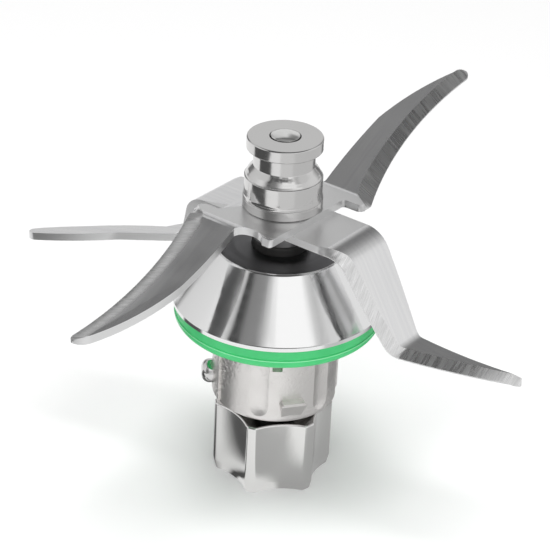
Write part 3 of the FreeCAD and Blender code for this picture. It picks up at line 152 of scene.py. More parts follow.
def round_the_axis(tree):
    """Distance from the shaft's axis, angle round it and height, for pieces that were turned on a lathe."""
    x, y, z = add_node(tree, "ShaderNodeSeparateXYZ", {0: object_place(tree)}).outputs
    return distance_of(tree, x, y), calculate(tree, "ARCTAN2", y, x), z


def vector_of(tree, x, y, z):
    """Vector from three values or outputs."""
    return add_node(tree, "ShaderNodeCombineXYZ", {0: x, 1: y, 2: z}).outputs[0]


def noise(tree, place, scale, detail=2.0, roughness=0.5):
    """Height of a noise pattern, from 0 to 1. The scale counts its grains per metre."""
    return add_node(tree, "ShaderNodeTexNoise", {
        "Vector": place, "Scale": scale, "Detail": detail, "Roughness": roughness}).outputs[0]


def spread(tree, value, low, high, from_low=0.3, from_high=0.7):
    """Maps a pattern from one range to another, without leaving it."""
    return add_node(tree, "ShaderNodeMapRange", {
        "Value": value, "From Min": from_low, "From Max": from_high, "To Min": low, "To Max": high,
    }).outputs[0]


def grey(level):
    return (level, level, level)


def tint(tree, factor, first, second):
    """Mixes two colours."""
    return add_node(tree, "ShaderNodeMix", {0: factor, 6: (*first, 1.0), 7: (*second, 1.0)},
                    data_type="RGBA").outputs[2]


def blend_of(tree, share, first, second):
    """Mixes two plain values, such as brightnesses."""
    return add_node(tree, "ShaderNodeMix", {0: share, 2: first, 3: second}, data_type="FLOAT").outputs[0]


def bump(tree, height, depth):
    """Normal of a surface with a height pattern. The depth is in metres."""
    return add_node(tree, "ShaderNodeBump", {"Height": height, "Distance": depth}).outputs[0]


def new_finish(name, colour, roughness, metallic=1.0, anisotropic=0.0):
    """Material with a Principled shader. Returns the material, its tree and the shader."""
    material = bpy.data.materials.new(name)
    material.use_nodes = True
    tree = material.node_tree
    shader = tree.nodes["Principled BSDF"]
    shader.inputs["Base Color"].default_value = (*colour, 1.0)
    shader.inputs["Roughness"].default_value = roughness
    shader.inputs["Metallic"].default_value = metallic
    shader.inputs["Anisotropic"].default_value = anisotropic
    return material, tree, shader


# %% [markdown]
# ## The studio
#
# Steel has hardly a colour of its own: what it shows is the room. A photographer surrounds such an object
# with white panels and leaves dark gaps between them, and the gaps become the dark streaks on the cone.
# Here the world plays the panels. One ramp round the horizon holds the low panels, which upright and
# steep faces mirror, and a second one the panels at the height of a softbox. The ceiling is dark, as in a
# real studio, so the arms that tilt towards it look dark. Only mirrors see all that: matt surfaces get
# even light and the camera white.

# %% World
# Directions round the horizon, in degrees from the camera's side, to the right, with their brightness.
LOW_PANELS = (
    (-180, 0.88), (-165, 0.85), (-155, 0.50), (-146, 0.25), (-130, 0.25), (-122, 0.90), (-90, 1.00),
    (-78, 1.15), (-66, 1.15), (-58, 0.80), (-50, 0.30), (-18, 0.25), (-4, 0.60), (20, 0.85),
    (34, 1.25), (52, 1.25), (62, 0.95), (94, 1.05), (116, 1.05), (130, 0.50), (150, 0.45),
    (166, 0.88), (180, 0.88),
)
SOFTBOXES = (
    (-180, 0.90), (-166, 0.80), (-152, 0.60), (-140, 0.80), (-124, 0.75), (-100, 0.95), (-62, 0.95),
    (-56, 0.70), (-52, 0.06), (-46, 0.10), (-40, 0.30), (-25, 0.34), (-18, 0.60), (-9, 1.05),
    (0, 1.35), (40, 1.35), (47, 0.88), (54, 0.68), (62, 0.90), (80, 0.90), (106, 0.95),
    (118, 0.75), (135, 0.45), (160, 0.22), (170, 0.40), (177, 0.90), (180, 0.90),
)
CEILING_LOW = 0.09      # just above the softboxes
CEILING_HIGH = 0.36     # further up, towards the back
CAMERA_SIDE = 0.35      # how much of that is left on the camera's side
DIFFUSE_ROOM = 0.44     # even light that every matt surface gets
BACKGROUND_WHITE = 1.0
# Heights: the low panels end, the softboxes begin and end, the ceiling begins and is full.
LOW_TOP = math.radians(25.0)
SOFTBOX_FOOT = math.radians(31.0)
SOFTBOX_TOP = math.radians(47.0)
CEILING_EDGE = math.radians(53.0)
CEILING_TOP = math.radians(62.0)
# Between these two shares of north, the ceiling grows from its camera side to its back.
CEILING_NEAR, CEILING_FAR = -0.30, 0.20
FULL_TURN = 360.0


def panel_ramp(tree, azimuth, panels):
    """Brightness of the panels at an azimuth in turns, from 0 to 1."""
    ramp = add_node(tree, "ShaderNodeValToRGB", {0: azimuth})
    elements = ramp.color_ramp.elements
    for number, (degrees, level) in enumerate(panels):
        place = degrees / FULL_TURN + 0.5
        if number < 2:          # a new ramp has two stops
            element = elements[number]
            element.position = place
        else:
            element = elements.new(place)
        element.color = (*grey(level), 1.0)
    return ramp.outputs[0]


def azimuth_in_turns(tree, x, y):
    """0.5 towards the camera, more to the right of it."""
    angle = calculate(tree, "ARCTAN2", x, calculate(tree, "MULTIPLY", y, -1.0))
    return calculate(tree, "ADD", calculate(tree, "DIVIDE", angle, 2 * math.pi), 0.5)


world = bpy.data.worlds.new("studio")
bpy.context.scene.world = world
world.use_nodes = True
room = world.node_tree
room.nodes.clear()
direction = add_node(room, "ShaderNodeTexCoord").outputs["Generated"]
east, north, up = add_node(room, "ShaderNodeSeparateXYZ", {0: direction}).outputs
height = calculate(room, "ARCSINE", up)
azimuth = azimuth_in_turns(room, east, north)
in_softboxes = spread(room, height, 0.0, 1.0, LOW_TOP, SOFTBOX_FOOT)
low_wall = panel_ramp(room, azimuth, LOW_PANELS)
high_wall = panel_ramp(room, azimuth, SOFTBOXES)
walls = blend_of(room, in_softboxes, low_wall, high_wall)
upwards = spread(room, height, CEILING_LOW, CEILING_HIGH, CEILING_EDGE, CEILING_TOP)
backwards = spread(room, north, CAMERA_SIDE, 1.0, CEILING_NEAR, CEILING_FAR)
ceiling = calculate(room, "MULTIPLY", upwards, backwards)
mirrored = blend_of(room, spread(room, height, 0.0, 1.0, SOFTBOX_TOP, CEILING_EDGE), walls, ceiling)
rays = add_node(room, "ShaderNodeLightPath").outputs
unseen = blend_of(room, rays["Is Glossy Ray"], DIFFUSE_ROOM, mirrored)
seen = blend_of(room, rays["Is Camera Ray"], unseen, BACKGROUND_WHITE)
background = add_node(room, "ShaderNodeBackground", {"Strength": seen})
add_node(room, "ShaderNodeOutputWorld", {"Surface": background.outputs[0]})
print("panels round the horizon:", len(LOW_PANELS), "low and", len(SOFTBOXES), "high")

# %% [markdown]
# The floor is a sheet of white paper. It keeps the shadow of the object, and a little light of its own,
# which only the camera and mirrors see, lifts it to the white of the background.
#
# An upright face seen from above mirrors the floor beside it. On a plain white floor the knob and the
# star would be white all over, so a photographer lays dark cards just outside the picture. Here the cards
# are part of the paper's material, and only mirrors see them. Each is a rectangle with soft edges, and
# close to the star they are cut like a fan, because a wall mirrors the floor straight in front of it.

# %% Floor
FLOOR_REACH = 3.0
PAPER_WHITE = 0.86
FLOOR_LIFT = 0.14       # light of its own for the camera
MIRRORED_WHITE = 0.25   # in mirrors the paper is darker, so they see less of the shadow,
MIRRORED_LIFT = 0.70    # and has more light of its own
CARD_EDGE = 0.003
# Cards: left, right, near and far edge in metres from the axis, and how much of the paper's light is left.
CARDS = (
    (-0.131, -0.045, -0.022, 0.030, 0.10),
    (-0.600, -0.137, -0.60, 0.030, 0.10),
    (-0.040, 0.100, -0.60, -0.120, 0.78),
    (0.022, 0.100, -0.075, 0.000, 0.60),
    (0.030, 0.100, 0.000, 0.060, 0.25),
    (0.100, 0.600, -0.60, 0.60, 0.68),
)
# The fan round the star: directions in degrees from the camera's side, and the light that is left.
FAN_REACH = 0.045
FAN = (
    (-180, 0.80), (-140, 0.75), (-118, 0.25), (-100, 0.10), (-84, 0.12), (-76, 0.50), (-70, 0.95),
    (-64, 0.85), (-58, 0.10), (-50, 0.10), (-46, 1.00), (6, 1.00), (12, 0.52), (100, 0.50),
    (140, 0.65), (180, 0.80),
)

floor_mesh = bpy.data.meshes.new("floor")
corners = [(sx * FLOOR_REACH, sy * FLOOR_REACH, 0.0) for sx, sy in ((-1, -1), (1, -1), (1, 1), (-1, 1))]
floor_mesh.from_pydata(corners, [], [(0, 1, 2, 3)])
floor = bpy.data.objects.new("floor", floor_mesh)
bpy.context.scene.collection.objects.link(floor)


def between(tree, value, low, high):
    """1 between two limits, 0 outside, with a soft edge."""
    rise = spread(tree, value, 0.0, 1.0, low - CARD_EDGE, low + CARD_EDGE)
    fall = spread(tree, value, 1.0, 0.0, high - CARD_EDGE, high + CARD_EDGE)
    return calculate(tree, "MULTIPLY", rise, fall)


paper, tree, shader = new_finish("white_paper", grey(PAPER_WHITE), 0.9, metallic=0.0)
shader.inputs["Specular IOR Level"].default_value = 0.0
east, north, _ = add_node(tree, "ShaderNodeSeparateXYZ", {0: object_place(tree)}).outputs
light_left = 1.0
for left, right, near, far, level in CARDS:
    inside = calculate(tree, "MULTIPLY", between(tree, east, left, right), between(tree, north, near, far))
    light_left = calculate(tree, "MULTIPLY", light_left, blend_of(tree, inside, 1.0, level))
from_axis = distance_of(tree, east, north)
in_fan = spread(tree, from_axis, 1.0, 0.0, FAN_REACH - CARD_EDGE, FAN_REACH + CARD_EDGE)
light_left = blend_of(tree, in_fan, light_left, panel_ramp(tree, azimuth_in_turns(tree, east, north), FAN))
rays = add_node(tree, "ShaderNodeLightPath").outputs
in_mirror = rays["Is Glossy Ray"]
mirrored_light = calculate(tree, "MULTIPLY", light_left, MIRRORED_WHITE)
paper_light = blend_of(tree, in_mirror, PAPER_WHITE, mirrored_light)
lift = blend_of(tree, in_mirror, calculate(tree, "MULTIPLY", rays["Is Camera Ray"], FLOOR_LIFT),
                calculate(tree, "MULTIPLY", light_left, MIRRORED_LIFT))
tree.links.new(tint(tree, paper_light, grey(0.0), grey(1.0)), shader.inputs["Base Color"])
shader.inputs["Emission Color"].default_value = (*grey(1.0), 1.0)
tree.links.new(lift, shader.inputs["Emission Strength"])
floor_mesh.materials.append(paper)
print("cards on the floor:", len(CARDS))

# %% [markdown]
# Soft area lights give matt surfaces a light and a dark side. They are large, so that their shadows have
# no hard edge, and steel doesn't mirror them, because the panels of the world are there for that.

# %% Lights
LIGHTS = (
    # name, place, width, height, power
    ("key_light", (-0.06, -0.12, 1.60), 0.85, 0.85, 18.5),
    ("fill_light", (0.10, -0.65, 0.35), 0.60, 0.50, 1.4),
)
LIGHT_AIM = Vector((0.0, 0.0, 0.045))

for name, place, width, height, power in LIGHTS:
    lamp = bpy.data.lights.new(name, "AREA")
    lamp.shape = "RECTANGLE"
    lamp.size = width
    lamp.size_y = height
    lamp.energy = power
    light = bpy.data.objects.new(name, lamp)
    light.location = place
    light.rotation_euler = (LIGHT_AIM - Vector(place)).to_track_quat("-Z", "Y").to_euler()
    light.visible_glossy = False
    bpy.context.scene.collection.objects.link(light)
print("area lights:", len(LIGHTS))

# %% [markdown]
# ## Turned steel
#
# A lathe leaves fine rings. They are too small to model, but they stretch every highlight across
# themselves, which is why a flat turned face shows two bright rays like the hands of a clock. The
# shader's anisotropy does that once it knows the direction of the rings: a Tangent node that runs round
# the Z axis. A noise that depends on the distance from the axis and on the height adds the rings, and a
# trace of the angle lets them fade along their way round.

# %% Finish of turned pieces
RINGS_PER_METRE = 5200.0
BANDS_PER_METRE = 900.0     # wider bands, in which the tool left the steel a little rougher or smoother
ANGLE_TRACE = 0.0006        # metres that a ring's pattern moves on for each radian


def turned_finish(name, colour, roughness, anisotropic, ring_depth):
    """Steel from a lathe, for a piece round the shaft's axis."""
    material, tree, shader = new_finish(name, colour, roughness, anisotropic=anisotropic)
    distance, angle, height = round_the_axis(tree)
    place = vector_of(tree, distance, calculate(tree, "MULTIPLY", angle, ANGLE_TRACE), height)
    rings = noise(tree, place, RINGS_PER_METRE, detail=3.0)
    bands = noise(tree, place, BANDS_PER_METRE, detail=1.0)
    tree.links.new(spread(tree, bands, roughness * 0.85, roughness * 1.2), shader.inputs["Roughness"])
    tree.links.new(bump(tree, rings, ring_depth), shader.inputs["Normal"])
    tangent = add_node(tree, "ShaderNodeTangent", direction_type="RADIAL", axis="Z").outputs[0]
    tree.links.new(tangent, shader.inputs["Tangent"])
    return material


TURNED = turned_finish("turned_steel_finish", (0.68, 0.675, 0.67), 0.12, 0.70, 0.000003)
RIVETED = turned_finish("riveted_steel_finish", (0.88, 0.88, 0.87), 0.16, 0.30, 0.000001)
print("turned finishes ready")

# %% [markdown]
# ## Polished steel and blasted casting
#
# The cone was turned and then polished, so it keeps only a trace of its rings and mirrors the room. The
# body under its flange is left as cast and blasted: dull, a little warmer, with a fine orange-peel
# surface and small pits that lie in patches. The flat top round the seal is dark grey: painted shade and
# a painted reflection of the blades' dark undersides, put into its colour.

# %% Finishes of the housing
WAVE_WIDTH = 6.0            # the casting's waves are this many grains wide,
WAVE_SHARE = 1.5            # and this much higher than the grains
PIT_WIDTH = 0.7             # grains per pit
PATCHES_PER_METRE = 45.0

POLISHED = turned_finish("polished_steel_finish", grey(0.86), 0.09, 0.60, 0.0000008)
# Dark grey of the flat top: painted shade and a painted reflection of the blades hanging over it.
PAINTED_SHADE_TOP = turned_finish("painted_shade_dish_finish", (0.15, 0.15, 0.155), 0.34, 0.30, 0.000002)


def cast_finish(name, colour, roughness, grain, grain_depth, pit_share=0.0):
    """Blasted casting. Grain counts the grains per metre, and pit_share is the pits' depth in grains."""
    material, tree, shader = new_finish(name, colour, roughness)
    place = object_place(tree)
    pebbles = noise(tree, place, grain, detail=3.0, roughness=0.55)
    waves = noise(tree, place, grain / WAVE_WIDTH, detail=2.0)
    height = calculate(tree, "ADD", pebbles, calculate(tree, "MULTIPLY", waves, WAVE_SHARE))
    if pit_share:
        pits = spread(tree, noise(tree, place, grain * PIT_WIDTH, detail=3.0), 0.0, pit_share, 0.50, 0.70)
        patches = spread(tree, noise(tree, place, PATCHES_PER_METRE, detail=1.0), 0.15, 1.0, 0.42, 0.56)
        height = calculate(tree, "SUBTRACT", height, calculate(tree, "MULTIPLY", pits, patches))
    tree.links.new(bump(tree, height, grain_depth), shader.inputs["Normal"])
    tree.links.new(spread(tree, waves, roughness * 0.9, roughness * 1.15), shader.inputs["Roughness"])
    return material


CAST_BODY = cast_finish("cast_body_finish", (0.82, 0.80, 0.785), 0.36, 1500.0, 0.00005, pit_share=2.6)
CAST_STAR = cast_finish("cast_star_finish", (0.78, 0.775, 0.765), 0.16, 1100.0, 0.000012)
print("housing and star finishes ready")

# %% [markdown]
# ## Blade steel
#
# A blade shows three finishes. Its faces keep the satin grain of the rolled sheet, which runs along the
# blade. Its bevels were ground across the edge by a wheel, which leaves short parallel scratches. The cut
# sides are plain and even. The grain follows the blade's own direction, so the pattern is turned with it,
# and then it is stretched: few grains along the blade, many across it.

# %% Finishes of the blades
UPPER_AZIMUTH = math.radians(53.3)
LOWER_AZIMUTH = UPPER_AZIMUTH - math.pi / 2
# Grains per metre along the blade, across it and upright.
SHEET_GRAIN = (200.0, 9000.0, 200.0)
SHEET_STREAKS = (15.0, 900.0, 15.0)
BEVEL_SCRATCHES = (5200.0, 220.0, 220.0)
BEVEL_STROKES = (1500.0, 90.0, 90.0)
CLOUDS_PER_METRE = 70.0
SPECKS_PER_METRE = 4000.0


def along_blade(tree, azimuth, stretch, **shape):
    """Noise on Object coordinates that are turned into the blade's direction and stretched."""
    turned = add_node(tree, "ShaderNodeMapping", {
        "Vector": object_place(tree), "Rotation": (0.0, 0.0, -azimuth)})
    stretched = add_node(tree, "ShaderNodeMapping", {"Vector": turned.outputs[0], "Scale": stretch})
    return noise(tree, stretched.outputs[0], 1.0, **shape)


def sheet_finish(name, azimuth):
    """Satin sheet, with a fine grain along the blade."""
    material, tree, shader = new_finish(name, (0.78, 0.78, 0.785), 0.22, anisotropic=0.35)
    streaks = spread(tree, along_blade(tree, azimuth, SHEET_STREAKS), 0.0, 1.0)
    tree.links.new(tint(tree, streaks, (0.79, 0.79, 0.80), grey(0.85)), shader.inputs["Base Color"])
    cloud = noise(tree, object_place(tree), CLOUDS_PER_METRE)
    tree.links.new(spread(tree, cloud, 0.17, 0.26), shader.inputs["Roughness"])
    tree.links.new(bump(tree, along_blade(tree, azimuth, SHEET_GRAIN), 0.0000012), shader.inputs["Normal"])
    return material


def ground_finish(name, azimuth):
    """Ground bevel, with short scratches across the edge."""
    material, tree, shader = new_finish(name, grey(0.74), 0.30)
    scratches = along_blade(tree, azimuth, BEVEL_SCRATCHES, detail=3.0, roughness=0.65)
    strokes = along_blade(tree, azimuth, BEVEL_STROKES, detail=1.0)
    tree.links.new(tint(tree, spread(tree, scratches, 0.0, 1.0), grey(0.64), grey(0.84)),
                   shader.inputs["Base Color"])
    tree.links.new(spread(tree, strokes, 0.22, 0.36), shader.inputs["Roughness"])
    tree.links.new(bump(tree, scratches, 0.000012), shader.inputs["Normal"])
    return material


def cut_finish(name):
    """Cut side of a sheet, even and fine."""
    material, tree, shader = new_finish(name, grey(0.78), 0.34)
    specks = noise(tree, object_place(tree), SPECKS_PER_METRE, detail=3.0)
    tree.links.new(bump(tree, specks, 0.000008), shader.inputs["Normal"])
    tree.links.new(spread(tree, specks, 0.30, 0.40), shader.inputs["Roughness"])
    return material


BLADE_CUT = cut_finish("blade_cut_finish")
print("blade finishes ready")

# %% [markdown]
# ## Silicone, rubber and small parts
#
# The gasket is dyed silicone: matt, vivid green, with a soft sheen because light enters it a little. The
# seal is carbon-black rubber. Nut, washers and bearings are plain stock parts and need only a quiet
# finish each.
#
# A thin pale line along the groove between the gasket's two bands is a painted highlight.

# %% Finishes of the soft and small parts
SOFT_CLOUDS_PER_METRE = 160.0
SKIN_PER_METRE = 7000.0
# A painted highlight: a thin pale green line round the gasket at this height.
HIGHLIGHT_DROP = 2.85 * MM        # from the flange down to the pale line
HIGHLIGHT_WIDTH = 0.14 * MM
PAINTED_HIGHLIGHT_COLOUR = (0.34, 0.92, 0.50, 1.0)


def soft_finish(name, colour, dark_colour, roughness, grain_depth):
    """Moulded silicone, rubber or plastic. Returns the material and its shader."""
    material, tree, shader = new_finish(name, colour, roughness, metallic=0.0)
    cloud = noise(tree, object_place(tree), SOFT_CLOUDS_PER_METRE, detail=3.0)
    skin = noise(tree, object_place(tree), SKIN_PER_METRE)
    colours = tint(tree, spread(tree, cloud, 0.0, 1.0), dark_colour, colour)
    tree.links.new(colours, shader.inputs["Base Color"])
    tree.links.new(bump(tree, skin, grain_depth), shader.inputs["Normal"])
    return material, shader


SILICONE, shader = soft_finish(
    "green_silicone_finish", (0.080, 0.74, 0.250), (0.065, 0.67, 0.215), 0.38, 0.000004)
tree = SILICONE.node_tree
plain = shader.inputs["Base Color"].links[0].from_socket
# the pale green line is a painted highlight, mixed into the silicone's colour
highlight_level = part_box("flange_gasket")[1].z - HIGHLIGHT_DROP
height = round_the_axis(tree)[2]
off_line = calculate(tree, "ABSOLUTE", calculate(tree, "SUBTRACT", height, highlight_level))
on_line = spread(tree, off_line, 1.0, 0.0, HIGHLIGHT_WIDTH / 2, HIGHLIGHT_WIDTH)
line = add_node(tree, "ShaderNodeMix", {
    0: on_line, 6: plain, 7: PAINTED_HIGHLIGHT_COLOUR}, data_type="RGBA").outputs[2]
tree.links.new(line, shader.inputs["Base Color"])
shader.inputs["Subsurface Weight"].default_value = 0.12
shader.inputs["Subsurface Radius"].default_value = (0.0004, 0.0016, 0.0006)
shader.inputs["Subsurface Scale"].default_value = 1.0
RUBBER, _ = soft_finish("black_rubber_finish", (0.034, 0.033, 0.032), grey(0.024), 0.45, 0.000006)
CAGE, _ = soft_finish("cage_plastic_finish", (0.23, 0.16, 0.09), (0.20, 0.14, 0.08), 0.45, 0.000005)
BEARING = turned_finish("bearing_steel_finish", (0.74, 0.74, 0.75), 0.12, 0.2, 0.000001)
PLATED = cast_finish("plated_steel_finish", (0.74, 0.73, 0.70), 0.26, 4000.0, 0.000006)

FINISH_OF_SLOT = {
    "polished_steel": POLISHED,
    "turned_steel": TURNED,
    "blade_steel": BLADE_CUT,
    "cast_steel": CAST_STAR,
    "bearing_steel": BEARING,
    "plated_steel": PLATED,
    "cage_plastic": CAGE,
    "green_silicone": SILICONE,
    "black_rubber": RUBBER,
}
for name, node in frame["nodes"].items():
    for slot in node.material_slots:
        slot.material = FINISH_OF_SLOT[slot.material.name]
print("CAD nodes with a finish:", len(frame["nodes"]))

# %% [markdown]
# ## Broken edges
#
# No factory leaves a sharp edge: the burr is brushed off, and the narrow round that remains catches a
# line of light. Those lines are what makes steel look like steel. The CAD meshes have none, so each
# visible piece is a copy of its node, with its loose triangles joined and its sharp edges bevelled by a
# fraction of a millimetre. Weighted normals keep the large faces flat beside their narrow bevels.

# %% Helper: a copy of a node with broken edges
JOIN_DISTANCE = 0.000002
FLAT_ANGLE = math.radians(0.6)
SHARP_ANGLE = math.radians(24.0)
BREAK_SEGMENTS = 2


def joined_copy(node_name):
    """The node's mesh as one connected surface, in a new bmesh."""
    shape = bmesh.new()
    shape.from_mesh(frame["nodes"][node_name].data)
    bmesh.ops.remove_doubles(shape, verts=shape.verts, dist=JOIN_DISTANCE)
    bmesh.ops.dissolve_limit(shape, angle_limit=FLAT_ANGLE, verts=shape.verts, edges=shape.edges)
    return shape


def break_edges(shape, width):
    """Bevels the edges between faces that meet at more than a shallow angle, and counts them."""
    sharp = [edge for edge in shape.edges
             if len(edge.link_faces) == 2 and edge.calc_face_angle() > SHARP_ANGLE]
    bmesh.ops.bevel(shape, geom=sharp, offset=width, offset_type="OFFSET", segments=BREAK_SEGMENTS,
                    profile=0.5, affect="EDGES", clamp_overlap=True)
    return len(sharp)


def finished_piece(name, shape, materials):
    """Turns the bmesh into an object with smooth, weighted normals."""
    mesh = bpy.data.meshes.new(name)
    shape.to_mesh(mesh)
    shape.free()
    for material in materials:
        mesh.materials.append(material)
    mesh.shade_smooth()
    piece = bpy.data.objects.new(name, mesh)
    bpy.context.scene.collection.objects.link(piece)
    weighting = piece.modifiers.new("weighting", "WEIGHTED_NORMAL")
    weighting.mode = "FACE_AREA"
    weighting.keep_sharp = True
    evaluated = piece.evaluated_get(bpy.context.evaluated_depsgraph_get())
    piece.data = bpy.data.meshes.new_from_object(evaluated)
    piece.modifiers.clear()
    piece.data.name = name
    return piece


def stand_in(name, node_name, width, materials, choose=None):
    """Replaces a CAD node by a copy with broken edges. Choose gives a face its material."""
    shape = joined_copy(node_name)
    if choose:
        choose(shape)
    count = break_edges(shape, width)
    piece = finished_piece(name, shape, materials)
    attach(piece, body_of(frame["nodes"][node_name])[0])
    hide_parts(node_name)
    print(f"{name}: {count} sharp edges, {len(piece.data.polygons)} faces")


# %% [markdown]
# ## The housing
#
# One casting with three finishes. The flange's lower face is the border: what lies below it is blasted,
# and what lies above it is turned and polished. The flat top round the seal gets a dark grey finish,
# which is painted shade and a painted reflection of the blades above it. The borders are read from the
# gasket, which sits under the flange, and from the housing's own top.

# %% Housing
FLANGE_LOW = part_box("flange_gasket")[1].z
CONE_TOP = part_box("bearing_housing")[1].z
TOP_DEPTH = 1.0 * MM        # how far below its highest point the dark top may lie
UPWARDS = 0.9
TOUCH = 0.01 * MM           # distance below which two places count as one
CONE, BODY, TOP = 0, 1, 2


def polish_above_flange(shape):
    """Gives every face of the housing its finish."""
    shape.normal_update()
    for face in shape.faces:
        height = face.calc_center_median().z
        if height < FLANGE_LOW + TOUCH:
            face.material_index = BODY
        # upward faces at the very top get the dark grey of painted shade
        elif height > CONE_TOP - TOP_DEPTH and face.normal.z > UPWARDS:
            face.material_index = TOP
        else:
            face.material_index = CONE


stand_in("polished_cone_housing", "bearing_housing", 0.18 * MM, [POLISHED, CAST_BODY, PAINTED_SHADE_TOP],
         polish_above_flange)

# %% [markdown]
# ## The blades
#
# Which faces are ground? A ray shot from a face straight through the sheet answers it. Behind a plain
# face lies a parallel one, two millimetres away. Behind a bevel the other face is not parallel, and
# behind a cut side the ray runs a long way through the steel. So the finish of each face is measured and
# not typed in.

# %% Blades
SHEET, BEVEL, SIDE = 0, 1, 2
NEAR = 2.6 * MM             # a little more than the sheet is thick
PARALLEL = 0.985            # cosine of the angle between the two faces, for a plain sheet
SLOPED = 0.6                # and for a bevel


def sort_faces(shape):
    """Gives every face of a blade its finish."""
    shape.normal_update()
    tree = BVHTree.FromBMesh(shape)
    counts = [0, 0, 0]
    for face in shape.faces:
        start = face.calc_center_median() - face.normal * TOUCH
        _, normal, _, distance = tree.ray_cast(start, -face.normal)
        kind = SIDE
        if normal is not None and distance < NEAR:
            opposite = -normal.dot(face.normal)
            if opposite > PARALLEL:
                kind = SHEET
            elif opposite > SLOPED:
                kind = BEVEL if face.normal.z > 0.0 else SHEET
        face.material_index = kind
        counts[kind] += 1
    print("faces of sheet, bevel and side:", counts)


for name, node_name, azimuth in (("crossed_blade_upper", "upper_blade", UPPER_AZIMUTH),
                                 ("crossed_blade_lower", "lower_blade", LOWER_AZIMUTH)):
    finishes = [sheet_finish(f"{name}_sheet", azimuth), ground_finish(f"{name}_bevel", azimuth), BLADE_CUT]
    stand_in(name, node_name, 0.12 * MM, finishes, sort_faces)

# %% [markdown]
# ## Knob, shaft, gasket, seal and pin
#
# The other visible pieces need no sorting of faces, only their broken edges.

# %% Small visible pieces
SMALL_PIECES = (
    # name, CAD node, width of the broken edge, finish, slot
    ("lifting_knob", "top_knob", 0.14 * MM, TURNED, "turned_steel"),
    ("riveted_shaft", "drive_shaft", 0.08 * MM, RIVETED, "turned_steel"),
    ("moulded_gasket", "flange_gasket", 0.10 * MM, SILICONE, "green_silicone"),
    ("lip_seal", "shaft_seal", 0.10 * MM, RUBBER, "black_rubber"),
    ("side_pin", "index_pin", 0.10 * MM, TURNED, "turned_steel"),
)
for name, node_name, width, finish, slot in SMALL_PIECES:
    stand_in(name, node_name, width, [finish])

# %% [markdown]
# ## The star coupling
#
# The coupling's outline repeats six times, so it is made as one sixth and then turned round the axis by a
# Geometry Nodes tree. One sixth runs from the middle of a flute over a tooth to the middle of the next
# flute. Its wall is a grid: a row of points for each height, each row a little further in at the rounded
# ends.

# %% Sizes of the star
TOOTH_COUNT = 6
TOOTH_LAND = 2.4 * MM       # width of a tooth's tip
FLUTE_DEPTH = 2.8 * MM      # from the teeth's circle in to the bottom of a flute
TOOTH_ROUND = 0.55 * MM
FOOT_INSET = 0.65 * MM      # how far the foot's band falls back
FOOT_BAND = 2.6 * MM        # and its height
HEAD_BREAK = 0.4 * MM       # width of the head's broken edge
BROKEN = 0.12 * MM          # and of the foot's
RECESS_RADIUS = 8.2 * MM    # of the hollow for the washer and the nut
SHAFT_RADIUS = 4.02 * MM
FLUTE_STEPS = 12
ROUND_STEPS = 4

coupling = frame["nodes"]["drive_coupling"].data
star_low, star_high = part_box("drive_coupling")
STAR_RADIUS = max(math.hypot(v.co.x, v.co.y) for v in coupling.vertices)
RECESS_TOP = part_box("coupling_washer")[1].z
rim = [v.co for v in coupling.vertices if math.hypot(v.co.x, v.co.y) > STAR_RADIUS - TOUCH]
PITCH = 2 * math.pi / TOOTH_COUNT
tooth_sine = sum(math.sin(TOOTH_COUNT * math.atan2(p.y, p.x)) for p in rim)
tooth_cosine = sum(math.cos(TOOTH_COUNT * math.atan2(p.y, p.x)) for p in rim)
TOOTH_ANGLE = math.atan2(tooth_sine, tooth_cosine) / TOOTH_COUNT
print(f"star: radius {STAR_RADIUS / MM:.2f} mm, first tooth at {math.degrees(TOOTH_ANGLE):.1f} degrees")

# %% One sixth of its outline


def star_outline():
    """One sixth of the outline, from flute to flute round the tooth on the X axis."""
    valley = STAR_RADIUS - FLUTE_DEPTH
    half_land = TOOTH_LAND / 2
    corner = Vector((math.sqrt(STAR_RADIUS ** 2 - half_land ** 2), half_land))
    local = Matrix.Rotation(-PITCH / 2, 2) @ corner         # seen from the flute's own middle line
    depth = local.x - valley
    radius = (local.y ** 2 + depth ** 2) / (2 * depth)
    full = math.asin(-local.y / radius)
    back = Matrix.Rotation(PITCH / 2, 2)
    flute = []
    for step in range(FLUTE_STEPS + 1):
        angle = full * step / FLUTE_STEPS
        arc = Vector((valley + radius * (1 - math.cos(angle)), -radius * math.sin(angle)))
        flute.append(back @ arc)
    before = corner + (flute[-2] - corner).normalized() * TOOTH_ROUND
    after = Vector((corner.x, corner.y - TOOTH_ROUND))
    half = [p for p in flute if (p - corner).length > TOOTH_ROUND * 1.2]
    for step in range(ROUND_STEPS + 1):
        share = step / ROUND_STEPS
        half.append(before * (1 - share) ** 2 + corner * (2 * share * (1 - share)) + after * share ** 2)
    return [Vector((p.x, -p.y)) for p in half] + half[::-1]


# %% One sixth of the star


def star_walls():
    """Rows (inset, height) from the foot up: the foot's band falls back and the head's rim is round."""
    low, band, high = star_low.z, star_low.z + FOOT_BAND, star_high.z
    rise = BROKEN * FOOT_BAND / FOOT_INSET
    return [
        (FOOT_INSET + BROKEN * 2, low), (FOOT_INSET + BROKEN / 2, low + BROKEN / 4),
        (FOOT_INSET - BROKEN / 4, low + BROKEN), (FOOT_INSET - BROKEN / 2, low + BROKEN * 2),
        (BROKEN, band - rise), (BROKEN / 3, band - rise / 4), (0.0, band + rise / 2),
        (0.0, high - HEAD_BREAK * 1.3), (HEAD_BREAK / 8, high - HEAD_BREAK * 0.8),
        (HEAD_BREAK * 0.8, high - HEAD_BREAK / 8), (HEAD_BREAK * 1.3, high),
    ]


